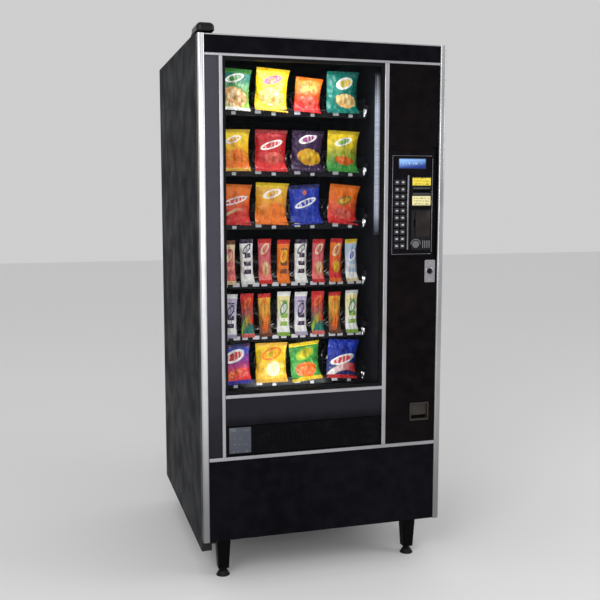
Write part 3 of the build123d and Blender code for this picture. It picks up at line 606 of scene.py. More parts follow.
class Shape:
    """A mesh being built with bmesh operators, in millimetres, and finished as one object."""

    def __init__(self, name: str) -> None:
        """Start an empty mesh."""
        self.name = name
        self.mesh = bmesh.new()
        self.uv = self.mesh.loops.layers.uv.new("UVMap")

    def faces_of(self, verts: Iterable[bmesh.types.BMVert]) -> list[bmesh.types.BMFace]:
        """Give the faces that touch some vertices."""
        return list(dict.fromkeys(face for vert in verts if vert.is_valid
                                  for face in vert.link_faces))

    def edges_of(self, verts: Iterable[bmesh.types.BMVert]) -> list[bmesh.types.BMEdge]:
        """Give the edges that touch some vertices."""
        return list(dict.fromkeys(edge for vert in verts for edge in vert.link_edges))

    def round_edges(self, faces: Iterable[bmesh.types.BMFace], radius: float,
                    segments: int = 2) -> None:
        """Round every edge of some faces."""
        edges = list(dict.fromkeys(edge for face in faces for edge in face.edges))
        bmesh.ops.bevel(self.mesh, geom=edges, offset=radius, offset_type="OFFSET",
                        segments=segments, profile=0.5, affect="EDGES", material=-1,
                        clamp_overlap=True)

    def sweep(self, ring: list[bmesh.types.BMVert], centre: Place, axis: Place, step: Place,
              angle: float, steps: int) -> None:
        """Carry a ring round an axis and close both ends of the tube.

        Args:
            ring: the vertices of the tube's first outline.
            centre: a point on the axis.
            axis: the direction of the axis.
            step: what each step adds along the way.
            angle: the whole turn in radians.
            steps: the number of steps.
        """
        bmesh.ops.spin(self.mesh, geom=ring + self.edges_of(ring), cent=centre, axis=axis,
                       dvec=step, angle=angle, steps=steps, use_merge=False,
                       use_normal_flip=False, use_duplicate=False)
        ends = [edge for edge in self.mesh.edges if edge.is_boundary]
        bmesh.ops.holes_fill(self.mesh, edges=ends, sides=8)

    def block(self, low: Place, high: Place, rounding: float = 0.0, slot: int = 0,
              segments: int = 2) -> None:
        """Add a box between two corners with rounded edges.

        Args:
            low: the lowest corner.
            high: the highest corner.
            rounding: the radius of its edges.
            slot: the material slot of its faces.
            segments: the steps in each rounded edge.
        """
        middle = Vector([(a + b) / 2 for a, b in zip(low, high)])
        sides = [b - a for a, b in zip(low, high)]
        place = Matrix.Translation(middle) @ Matrix.Diagonal((*sides, 1.0))
        made = bmesh.ops.create_cube(self.mesh, size=1.0, matrix=place)["verts"]
        faces = self.faces_of(made)
        for face in faces:
            face.material_index = slot
        if rounding > 0.0:
            self.round_edges(faces, min(rounding, min(sides) * ROUNDING_LIMIT), segments)

    def disc(self, middle: Place, radius: float, depth: float, axis: str = "Y", taper: float = 1.0,
             segments: int = 24, rounding: float = 0.0, slot: int = 0) -> None:
        """Add a closed round boss or rod.

        Args:
            middle: the middle of its length.
            radius: its radius at the low end.
            depth: its length along the axis.
            axis: the axis letter.
            taper: the far end's radius over the near end's.
            segments: the sides of its outline.
            rounding: the radius of its end edges.
            slot: the material slot of its faces.
        """
        turn = {"X": Matrix.Rotation(math.pi / 2, 4, "Y"),
                "Y": Matrix.Rotation(-math.pi / 2, 4, "X"),
                "Z": Matrix.Identity(4)}[axis]
        place = Matrix.Translation(Vector(middle)) @ turn
        made = bmesh.ops.create_cone(self.mesh, cap_ends=True, cap_tris=False, segments=segments,
                                     radius1=radius, radius2=radius * taper, depth=depth,
                                     matrix=place)["verts"]
        faces = self.faces_of(made)
        for face in faces:
            face.material_index = slot
        if rounding > 0.0:
            self.round_edges([face for face in faces if len(face.verts) == segments], rounding)

    def screw(self, middle: Place, axis: str = "Y", outward: float = -1.0,
              radius: float = 4.5) -> None:
        """Add a pan-head screw with a sunk round drive, standing out along an axis."""
        half, sides = 0.9, 12
        index = "XYZ".index(axis)
        centre = list(middle)
        centre[index] += outward * half
        sunk = [-half * outward if n == index else 0.0 for n in range(3)]
        before = set(self.mesh.faces)
        self.disc(tuple(centre), radius, half * 2, axis, 1.0, sides, 0.6)
        for face in [f for f in self.mesh.faces if f not in before and len(f.verts) == sides]:
            if face.calc_center_median()[index] * outward > centre[index] * outward + 0.5:
                bmesh.ops.inset_region(self.mesh, faces=[face], thickness=radius * 0.4, depth=0.0)
                bmesh.ops.translate(self.mesh, verts=list(face.verts), vec=sunk)
                break

    def spiral(self, centre: float, start: float, level: float, radius: float, wire: float,
               pitch: float,
               length: float) -> None:
        """Add a coil of round wire that runs back along Y.

        Args:
            centre: the coil axis in X.
            start: the front end in Y.
            level: the coil axis in Z.
            radius: the coil's outer radius.
            wire: the wire's radius.
            pitch: the length of one turn.
            length: the coil's whole length.
        """
        steps_per_turn = 18
        turns = length / pitch
        steps = int(turns * steps_per_turn)
        upright = Matrix.Rotation(math.pi / 2, 4, "Y")
        place = Matrix.Translation((centre, start, level + radius - wire)) @ upright
        ring = bmesh.ops.create_circle(self.mesh, cap_ends=False, segments=6, radius=wire,
                                       matrix=place)["verts"]
        self.sweep(ring, (centre, start, level), (0.0, 1.0, 0.0), (0.0, length / steps, 0.0),
                   math.tau * turns, steps)

    def finish(self, materials: Sequence[bpy.types.Material], body: str,
               crisp: float = 35.0) -> bpy.types.Object:
        """Turn the mesh into an object that rides on a body.

        Args:
            materials: the materials of its slots, in order.
            body: the CAD body that it rides on.
            crisp: edges over this many degrees stay sharp.

        Returns:
            The new object.
        """
        bmesh.ops.recalc_face_normals(self.mesh, faces=list(self.mesh.faces))
        bmesh.ops.scale(self.mesh, vec=(MM, MM, MM), verts=list(self.mesh.verts))
        limit = math.radians(crisp)
        for face in self.mesh.faces:
            face.smooth = True
        for edge in self.mesh.edges:
            edge.smooth = len(edge.link_faces) == 2 and edge.calc_face_angle(0.0) < limit
        data = bpy.data.meshes.new(self.name)
        self.mesh.to_mesh(data)
        self.mesh.free()
        for material in materials:
            data.materials.append(material)
        piece = add_object(self.name, data)
        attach(piece, body)
        LOG.info("%s: %d faces on %s", self.name, len(data.polygons), body)
        return piece


def dress(node: str, material: bpy.types.Material) -> None:
    """Give a CAD node its finish."""
    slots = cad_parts[node].data.materials
    slots.clear()
    slots.append(material)
    LOG.info("%s wears %s", node, material.name)


def limits(node: str) -> tuple[Vector, Vector]:
    """Give a CAD node's lowest and highest corners in millimetres."""
    low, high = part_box(node)
    return low / MM, high / MM


def beside(corner: Sequence[float], offset: Place) -> Place:
    """Give the point that is at an offset from a corner."""
    return tuple(start + step for start, step in zip(corner, offset))


# ---------------------------------------------------------------- cabinet
@dataclass
class Cabinet:
    """The steel case on its legs, with the bolts that show from below."""

    case: PowderCoat = PowderCoat("case_paint", (0.0040, 0.0050, 0.0078), 0.52, 0.55, 300.0, 0.04)
    dark: PowderCoat = PowderCoat("bracket_paint", (0.006, 0.006, 0.007), 0.45, 0.2, 500.0, 0.14)
    leg: PowderCoat = PowderCoat("leg_paint", (0.0012, 0.0012, 0.0016), 0.42, 0.15, 600.0, 0.05,
                                 0.02)
    foot: MouldedPlastic = MouldedPlastic("foot_pad", (0.005, 0.005, 0.006), 0.55, 0.3, 0.15)
    dome: MouldedPlastic = MouldedPlastic("hinge_dome", (0.005, 0.005, 0.006), 0.34, 0.12, 0.25)
    bolt_insets: tuple[float, float] = (9.0, 61.0)
    bolt_sink: float = 4.2
    bolt_radius: float = 4.4

    def build(self) -> None:
        """Dress the case, legs and hinges, and add the bolts of the legs."""
        paint = self.case.make()
        for node in ("left_side_panel", "right_side_panel", "top_panel", "back_panel",
                     "base_panel"):
            dress(node, paint)
        dress("legs", self.leg.make())
        dress("levelling_feet", self.foot.make())
        dark = self.dark.make()
        dress("hinge_brackets", dark)
        dress("power_box", dark)
        dress("hinge_cover", self.dome.make())
        self._leg_screws(dark)

    def _leg_screws(self, dark: bpy.types.Material) -> None:
        """Add the bolts that show on each leg's mounting plate."""
        low, high = limits("legs")
        shape = Shape("leg_bolts")
        near, far = self.bolt_insets
        for x in (low.x + near, low.x + far, high.x - far, high.x - near):
            for y in (low.y + near, low.y + far, high.y - far, high.y - near):
                shape.screw((x, y, high.z - self.bolt_sink), "Z", -1.0, self.bolt_radius)
        shape.finish([dark], "cabinet")


# ---------------------------------------------------------------- trays and goods
@dataclass
class Trays:
    """Six trays with their coils, price tags and latches."""

    floors: tuple[float, ...] = (1609.0, 1406.0, 1224.0, 1019.0, 833.0, 669.0)
    narrow_rows: tuple[int, ...] = (3, 4)
    left: float = -365.4
    width: float = 558.8
    front: float = -297.0
    coil_front: float = -249.0
    coil_length: float = 452.8
    hub_depth: float = 8.0
    hub_lip: float = 0.8
    wide_radius: float = 38.0
    narrow_radius: float = 30.0
    wide_pitch: float = 66.0
    narrow_pitch: float = 40.0
    wire: float = 2.2
    coil_base: float = 3.7
    moving: tuple[tuple[int, int], ...] = ((2, 2), (3, 5), (4, 4))
    tag_size: tuple[float, float] = (21.0, 13.0)
    tag_drop: float = 5.0
    tag_depths: tuple[float, float] = (7.4, 6.1)
    small_tag: tuple[float, float] = (0.7, 0.8)
    latch_parts: tuple[tuple[Place, Place, float], ...] = (
        ((-9.0, -9.0, -21.0), (3.0, -6.2, 9.0), 1.1), ((-3.0, -15.0, -9.0), (3.0, -7.0, 6.0), 1.6))
    latch_knob: tuple[Place, float, float] = ((-3.0, -10.0, -14.0), 4.2, 4.0)
    steel: BrushedMetal = BrushedMetal("tray_steel", (0.07, 0.07, 0.08), (8.0, 300.0, 300.0), 0.42,
                                       0.4)
    wall: PowderCoat = PowderCoat("liner_paint", (0.008, 0.008, 0.012), 0.5, 0.2, 420.0, 0.15)
    coil: BrushedMetal = BrushedMetal("coil_wire", (0.80, 0.79, 0.76), (260.0, 260.0, 260.0), 0.26,
                                      0.2)
    rail: MouldedPlastic = MouldedPlastic("rail_plastic", (0.004, 0.004, 0.006), 0.3, 0.08, 0.2)
    motor: MouldedPlastic = MouldedPlastic("motor_case", (0.05, 0.05, 0.055), 0.45, 0.2, 0.3)
    hub: MouldedPlastic = MouldedPlastic("coil_hub", (0.55, 0.55, 0.52), 0.4, 0.1, 0.4)
    chrome: BrushedMetal = BrushedMetal("latch_chrome", (0.86, 0.86, 0.87), (300.0, 300.0, 40.0),
                                        0.16, 0.1)

    def lanes(self, row: int) -> list[float]:
        """Give the lane centres of one tray."""
        count = 8 if row in self.narrow_rows else 4
        return [self.left + self.width / count * (lane + 0.5) for lane in range(count)]

    def radius(self, row: int) -> float:
        """Give the outer radius of one tray's coils."""
        return self.narrow_radius if row in self.narrow_rows else self.wide_radius

    def build(self) -> None:
        """Dress the trays and add coils, tags and latches."""
        steel = self.steel.make()
        for node in ("trays", "tray_rails"):
            dress(node, steel)
        dress("inner_walls", self.wall.make())
        dress("vend_motors", self.motor.make())
        dress("price_rails", self.rail.make())
        wire = self.coil.make()
        for node in ("chip_coil", "candy_coil_upper", "candy_coil_lower"):
            dress(node, wire)
        self._coils(wire)
        self._tags()
        self._latches()

    def _coils(self, wire: bpy.types.Material) -> None:
        """Add the coils that stay still, one piece per tray, in place of their sleeves."""
        hub = self.hub.make()
        for row, floor in enumerate(self.floors):
            radius = self.radius(row)
            pitch = self.narrow_pitch if row in self.narrow_rows else self.wide_pitch
            level = floor + self.coil_base + radius
            shape = Shape(f"coils_row_{row + 1}")
            for lane, centre in enumerate(self.lanes(row)):
                if (row, lane) in self.moving:
                    continue
                shape.spiral(centre, self.coil_front, level, radius, self.wire, pitch,
                             self.coil_length)
                shape.disc((centre, self.coil_front + self.coil_length, level),
                           radius + self.hub_lip, self.hub_depth, "Y", 1.0, 28, 1.0, 1)
            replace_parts(shape.finish([wire, hub], "cabinet"), "fixed_coils")

    def _tags(self) -> None:
        """Add the price and selection tags on every rail."""
        card = PrintedCard("price_tag", (0.50, 0.51, 0.54), (0.10, 0.10, 0.12), (11 * MM, 8 * MM),
                           (self.left * MM, 0.0, 0.0), 0.46)
        shape = Shape("price_tags")
        width, height = self.tag_size
        for row, floor in enumerate(self.floors):
            narrow = row in self.narrow_rows
            offsets = ((-52.0, width), (6.0, width * self.small_tag[0]))
            if narrow:
                offsets = ((-29.0, 24.0), (3.0, 20.0))
            for centre in self.lanes(row):
                for shift, span in offsets:
                    lower = 0.0 if narrow or shift < 0 else self.tag_drop
                    drop = floor - self.tag_drop - height - lower
                    tall = height * (1.0 if shift < 0 else self.small_tag[1])
                    low = (centre + shift, self.front - self.tag_depths[0], drop)
                    high = (centre + shift + span, self.front - self.tag_depths[1], drop + tall)
                    shape.block(low, high, 0.5, 0, 1)
        shape.finish([card.make()], "cabinet")

    def _latches(self) -> None:
        """Add the bright tray latches at the right-hand ends of the rails."""
        chrome = self.chrome.make()
        right = self.left + self.width
        shape = Shape("tray_latches")
        for floor in self.floors:
            corner = (right, self.front, floor)
            for low, high, rounding in self.latch_parts:
                shape.block(beside(corner, low), beside(corner, high), rounding)
            offset, radius, depth = self.latch_knob
            shape.disc(beside(corner, offset), radius, depth, "Y", 0.8, 16, 0.7)
        shape.finish([chrome], "cabinet")


@dataclass
class Pack:
    """One pillow pack of printed film, sealed at both ends, that laps over the price rail."""

    width: float
    height: float
    thickness: float
    seed: int
    slot: int
    lean: float = 0.0
    yaw: float = 0.0
    seal: float = 11.0
    lap: float = 10.0
    columns: int = 20
    rows: int = 26
    film: float = 0.35
    shoulder: float = 0.34
    seal_reach: float = 0.11
    waist: float = 0.075
    tooth: float = 0.9
    crinkle: float = 3.4
    lap_ends: tuple[float, float] = (0.24, 0.72)

    def _profile(self, u: float, v: float) -> float:
        """Give half the pack's thickness at a point of its face."""
        ends = min(v, 1.0 - v) - self.seal / self.height
        if ends <= 0.0:
            return self.film
        rise = min(1.0, ends / self.shoulder)
        across = max(0.0, 1.0 - abs(2 * u - 1) ** 2.4) ** 0.62
        along = math.sin(rise * math.pi / 2) ** 0.8
        return self.film + self.thickness / 2 * across * along * (1.06 - 0.25 * v)

    def _point(self, u: float, v: float, swell: float, phase: Sequence[float]) -> Vector:
        """Give one point of the creased front film, standing upright at the origin.

        Args:
            u: the share of the way across.
            v: the share of the way up.
            swell: how full the pack is.
            phase: where its two sets of folds start.

        Returns:
            The point in millimetres.
        """
        half = self._profile(u, v) * swell
        edge = abs(2 * u - 1) > 0.999
        past_seal = max(0.0, min(v, 1 - v) - self.seal / self.height)
        near_seal = math.exp(-past_seal / self.seal_reach)
        fold = math.sin(u * 21 + phase[0]) * 1.3 + math.sin(u * 37 + phase[1]) * 0.7
        crinkle = noise.noise(Vector((u * 5 + self.seed, v * 6, self.seed * 0.37))) * self.crinkle
        if half > 0.4:
            half = max(0.4, half + (fold * near_seal + crinkle) * min(1.0, half / 6.0))
        narrowed = 1.0 - self.waist * math.sin(math.pi * min(1.0, max(0.0, v))) ** 0.7
        tooth = self.tooth * (-1) ** round(u * self.columns) if v in (0.0, 1.0) else 0.0
        return Vector(((u - 0.5) * self.width * narrowed, 0.0 if edge else -half,
                       v * self.height + tooth))

    def add(self, shape: Shape, centre: float, front: float, foot: float) -> None:
        """Add the pack to a shape.

        Args:
            shape: the shape that collects a tray's packs.
            centre: the pack's middle in X.
            front: the Y of its lap in front of the rail.
            foot: the Z of the tray under it.
        """
        rng = random.Random(self.seed)
        phase = [rng.uniform(0.0, math.tau) for _ in range(4)]
        swell = rng.uniform(0.9, 1.08)
        turn = Matrix.Rotation(self.yaw, 3, "Z") @ Matrix.Rotation(self.lean, 3, "Y")
        mesh = shape.mesh
        made = bmesh.ops.create_grid(mesh, x_segments=self.columns, y_segments=self.rows,
                                     size=0.5)["verts"]
        faces = shape.faces_of(made)
        for face in faces:
            face.material_index = self.slot
            for loop in face.loops:
                loop[shape.uv].uv = (loop.vert.co.x + 0.5, loop.vert.co.y + 0.5)
        for vert in made:
            vert.co = self._point(vert.co.x + 0.5, vert.co.y + 0.5, swell, phase)
        edges = list(dict.fromkeys(edge for face in faces for edge in face.edges))
        geometry = made + edges + faces
        mirrored = bmesh.ops.mirror(mesh, geom=geometry, matrix=Matrix.Identity(4),
                                    merge_dist=0.05, axis="Y")["geom"]
        back = [item for item in mirrored if isinstance(item, bmesh.types.BMVert)]
        every = list(dict.fromkeys(vert for vert in made + back if vert.is_valid))
        depth = self.lap + self.thickness / 2
        middle = front + depth
        foot_end, head_start = self.lap_ends
        for vert in every:
            v = min(1.0, max(0.0, vert.co.z / self.height))
            at_head = max(0.0, (v - head_start) / 0.28) ** 1.5
            pull = (1 - min(1.0, v / foot_end)) ** 1.6 + 0.55 * at_head
            vert.co.y -= pull * (depth - 3.0)
            vert.co = turn @ vert.co + Vector((centre, middle, foot))


def wrap(name: str, low: Colour, high: Colour, head: Colour, foot: Colour, badge: Colour,
         centre: Colour,
         figure: Figure, figure_colour: Colour, **more: object) -> PackPrint:
    """Name one kind of printed film."""
    return PackPrint(f"film_{name}", low, high, head, foot, badge, centre, figure, figure_colour,
                     **more)


WHITE: Colour = (0.82, 0.82, 0.80)
CREAM: Colour = (0.80, 0.66, 0.38)
YELLOW: Colour = (0.80, 0.56, 0.01)
GOLD: Colour = (0.72, 0.40, 0.03)
ORANGE: Colour = (0.80, 0.17, 0.008)
RED: Colour = (0.62, 0.02, 0.02)
PINK: Colour = (0.78, 0.16, 0.14)
TEAL: Colour = (0.004, 0.17, 0.13)
GREEN: Colour = (0.04, 0.26, 0.04)
LIME: Colour = (0.24, 0.44, 0.03)
BLUE: Colour = (0.006, 0.03, 0.36)
NAVY: Colour = (0.01, 0.015, 0.10)
PURPLE: Colour = (0.028, 0.006, 0.045)
BROWN: Colour = (0.16, 0.05, 0.02)
BUTTER: Colour = (0.84, 0.74, 0.34)
PLUM: Colour = (0.34, 0.04, 0.20)
DARK_RED: Colour = (0.38, 0.008, 0.012)
OLIVE: Colour = (0.22, 0.16, 0.02)
ROSE: Colour = (0.62, 0.10, 0.14)
HAZE: Colour = (0.40, 0.55, 0.75)
LILAC: Colour = (0.50, 0.42, 0.62)


@dataclass
class Goods:
    """The packs that stand at the front of the lanes."""

    trays: Trays
    bag_width: float = 120.0
    bag_height: float = 144.0
    bag_thickness: float = 36.0
    bar_width: float = 48.0
    bar_height: float = 156.0
    bar_thickness: float = 25.0
    short_pack: tuple[int, int] = (0, 2)
    lowest_share: float = 0.97
    lean_range: float = 5.5
    yaw_range: float = 3.4
    front: float = -314.0
    foot_drop: float = 9.0
    lane_shift: float = 10.0
    bar_shift: float = 6.0
    bar_offset: float = 10.0

    def _bag_prints(self) -> list[list[PackPrint]]:
        """Give the printed films of the wide packs, one list per wide tray."""
        first = [
            wrap("meadow", LIME, TEAL, GREEN, WHITE, WHITE, GREEN, Figure.HEAP, CREAM,
                 badge_at=(0.5, 0.78),
                 badge_size=(0.3, 0.1), figure_size=(0.44, 0.24), figure_at=(0.48, 0.32)),
            wrap("sunny", YELLOW, YELLOW, YELLOW, GOLD, PLUM, PINK, Figure.HEAP, BUTTER,
                 badge_at=(0.5, 0.74),
                 badge_size=(0.28, 0.1), figure_size=(0.4, 0.22), figure_at=(0.5, 0.34)),
            wrap("ember", RED, ORANGE, ORANGE, RED, GREEN, YELLOW, Figure.HEAP, PINK,
                 badge_at=(0.5, 0.7),
                 badge_size=(0.26, 0.08), figure_at=(0.55, 0.3), figure_size=(0.24, 0.16)),
            wrap("lagoon", TEAL, TEAL, TEAL, TEAL, WHITE, YELLOW, Figure.HEAP, BUTTER,
                 badge_at=(0.55, 0.72),
                 badge_size=(0.28, 0.14), figure_at=(0.6, 0.3), figure_size=(0.34, 0.17)),
        ]
        second = [
            wrap("amber", ORANGE, YELLOW, YELLOW, GOLD, WHITE, GOLD, Figure.DISC, ORANGE,
                 badge_at=(0.5, 0.76),
                 badge_size=(0.26, 0.08), figure_at=(0.6, 0.34), figure_size=(0.3, 0.19)),
            wrap("scarlet", RED, DARK_RED, DARK_RED, RED, WHITE, RED, Figure.HEAP, PINK,
                 badge_at=(0.5, 0.64), badge_size=(0.38, 0.09), figure_at=(0.58, 0.32),
                 figure_size=(0.3, 0.15)),
            wrap("dusk", PURPLE, PURPLE, PURPLE, PURPLE, WHITE, PLUM, Figure.HEAP, YELLOW,
                 badge_at=(0.5, 0.8),
                 badge_size=(0.3, 0.1), figure_at=(0.55, 0.36), figure_size=(0.4, 0.2)),
            wrap("field", GREEN, YELLOW, YELLOW, GREEN, WHITE, LIME, Figure.HEAP, ORANGE,
                 badge_at=(0.5, 0.74),
                 badge_size=(0.3, 0.09), figure_at=(0.55, 0.28), figure_size=(0.32, 0.1)),
        ]
        third = [
            wrap("brick", RED, ORANGE, ORANGE, RED, WHITE, RED, Figure.SWEEP, CREAM,
                 badge_at=(0.5, 0.6),
                 badge_size=(0.42, 0.08), figure_at=(0.5, 0.36), figure_size=(0.4, 0.08)),
            wrap("harvest", ORANGE, GOLD, YELLOW, ORANGE, WHITE, GOLD, Figure.DISC, ORANGE,
                 badge_at=(0.5, 0.74),
                 badge_size=(0.3, 0.1), figure_at=(0.62, 0.34), figure_size=(0.3, 0.19)),
            wrap("ocean", BLUE, BLUE, NAVY, BLUE, WHITE, BLUE, Figure.DISC, ORANGE,
                 badge_at=(0.5, 0.54),
                 badge_size=(0.38, 0.09), figure_at=(0.5, 0.8), figure_size=(0.1, 0.06)),
            wrap("flame", RED, ORANGE, ORANGE, RED, OLIVE, GOLD, Figure.HEAP, PINK,
                 badge_at=(0.5, 0.6),
                 badge_size=(0.26, 0.11), figure_at=(0.5, 0.26), figure_size=(0.32, 0.14)),
        ]
        last = [
            wrap("parade", RED, BLUE, NAVY, BLUE, WHITE, RED, Figure.SWEEP, ORANGE,
                 badge_at=(0.5, 0.7)),
            wrap("toast", GOLD, YELLOW, GOLD, GOLD, ORANGE, YELLOW, Figure.DISC, CREAM,
                 badge_at=(0.5, 0.72), figure_at=(0.55, 0.34)),
            wrap("orchard", GREEN, GREEN, YELLOW, YELLOW, LIME, YELLOW, Figure.HEAP, ORANGE,
                 badge_at=(0.5, 0.7)),
            wrap("rally", NAVY, BLUE, BLUE, RED, WHITE, RED, Figure.SWEEP, WHITE,
                 badge_at=(0.5, 0.48), badge_size=(0.42, 0.12)),
        ]
        return [first, second, third, last]

    def _bar_prints(self) -> list[list[PackPrint]]:
        """Give the printed films of the narrow packs, one list per narrow tray."""
        tall = (0.3, 0.28)
        caramel = wrap("caramel", PINK, CREAM, BROWN, CREAM, ROSE, CREAM, Figure.BLOCKS, ROSE,
                       badge_size=(0.34, 0.16))
        plum = wrap("plum", WHITE, WHITE, PURPLE, WHITE, PURPLE, WHITE, Figure.BLOCKS, PURPLE,
                    badge_at=(0.5, 0.78), badge_size=(0.34, 0.08))
        rose = wrap("rose", PINK, ROSE, RED, RED, CREAM, ROSE, Figure.HEAP, CREAM,
                    badge_at=(0.5, 0.78),
                    badge_size=(0.34, 0.1), figure_at=(0.55, 0.34), figure_size=(0.3, 0.16))
        marmalade = wrap("marmalade", ORANGE, ORANGE, RED, ORANGE, YELLOW, ORANGE, Figure.BLOCKS,
                         BROWN,
                    badge_size=(0.28, 0.14))
        frost = wrap("frost", WHITE, HAZE, YELLOW, CREAM, WHITE, BLUE, Figure.BLOCKS, HAZE,
                     badge_size=(0.3, 0.12))
        toffee = wrap("toffee", RED, ORANGE, RED, ORANGE, CREAM, ORANGE, Figure.HEAP, YELLOW,
                      badge_at=(0.5, 0.74),
                      badge_size=(0.36, 0.12), figure_at=(0.5, 0.36), figure_size=(0.3, 0.14))
        violet = wrap("violet", WHITE, LILAC, WHITE, LILAC, NAVY, LILAC, Figure.BLOCKS, PURPLE,
                      badge_size=(0.3, 0.12))
        berry = wrap("berry", TEAL, RED, RED, PINK, ORANGE, RED, Figure.SWEEP, LIME,
                     badge_at=(0.5, 0.78),
                     badge_size=(0.34, 0.09), figure_at=(0.5, 0.4), figure_size=(0.4, 0.2))
        cocoa = wrap("cocoa", BROWN, GOLD, RED, BROWN, ORANGE, GOLD, Figure.BURST, ORANGE,
                     badge_size=tall)
        mint = wrap("mint", WHITE, BUTTER, WHITE, LIME, GREEN, WHITE, Figure.BLOCKS, LIME,
                    badge_size=(0.3, 0.14))
        return [
            [caramel, plum, rose, marmalade, plum, rose, toffee, frost],
            [violet, berry, cocoa, mint, violet, berry, cocoa, mint],
        ]

    def build(self) -> None:
        """Add the packs of every tray."""
        films: dict[str, bpy.types.Material] = {}
        bags, bars = iter(self._bag_prints()), iter(self._bar_prints())
        for row, floor in enumerate(self.trays.floors):
            narrow = row in self.trays.narrow_rows
            prints = next(bars if narrow else bags)
            names = list(dict.fromkeys(one.name for one in prints))
            for one in prints:
                if one.name not in films:
                    films[one.name] = one.make()
            shape = Shape(f"{'bars' if narrow else 'bags'}_row_{row + 1}")
            for lane, centre in enumerate(self.trays.lanes(row)):
                pack = self._pack(row, lane, names.index(prints[lane].name))
                shift = (1.5 - lane) * self.lane_shift
                if narrow:
                    shift = (3.5 - lane) * self.bar_shift + self.bar_offset
                pack.add(shape, centre + shift, self.front, floor - self.foot_drop)
            piece = shape.finish([films[name] for name in names], "cabinet",
                                 crisp=70.0)
            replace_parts(piece, "candy_bars" if narrow else "chip_bags")

    def _pack(self, row: int, lane: int, slot: int) -> Pack:
        """Size and lean one lane's pack, with its own small random differences.

        Args:
            row: the tray's number from the top.
            lane: the lane's number from the left.
            slot: the material slot of its film.

        Returns:
            The pack.
        """
        narrow = row in self.trays.narrow_rows
        rng = random.Random(row * 10 + lane)
        shrink = 1.0 - 0.05 * rng.random() - (0.14 if (row, lane) == self.short_pack else 0.0)
        width, height, thickness = self.bag_width, self.bag_height, self.bag_thickness
        if narrow:
            width, height, thickness = self.bar_width, self.bar_height, self.bar_thickness
        if row == len(self.trays.floors) - 1:
            shrink = min(shrink, self.lowest_share)
        lean = rng.uniform(-self.lean_range, self.lean_range) * (0.4 if narrow else 1.0)
        yaw = rng.uniform(-self.yaw_range, self.yaw_range)
        return Pack(width * shrink, height * shrink, thickness, row * 16 + lane, slot,
                    math.radians(lean), math.radians(yaw))


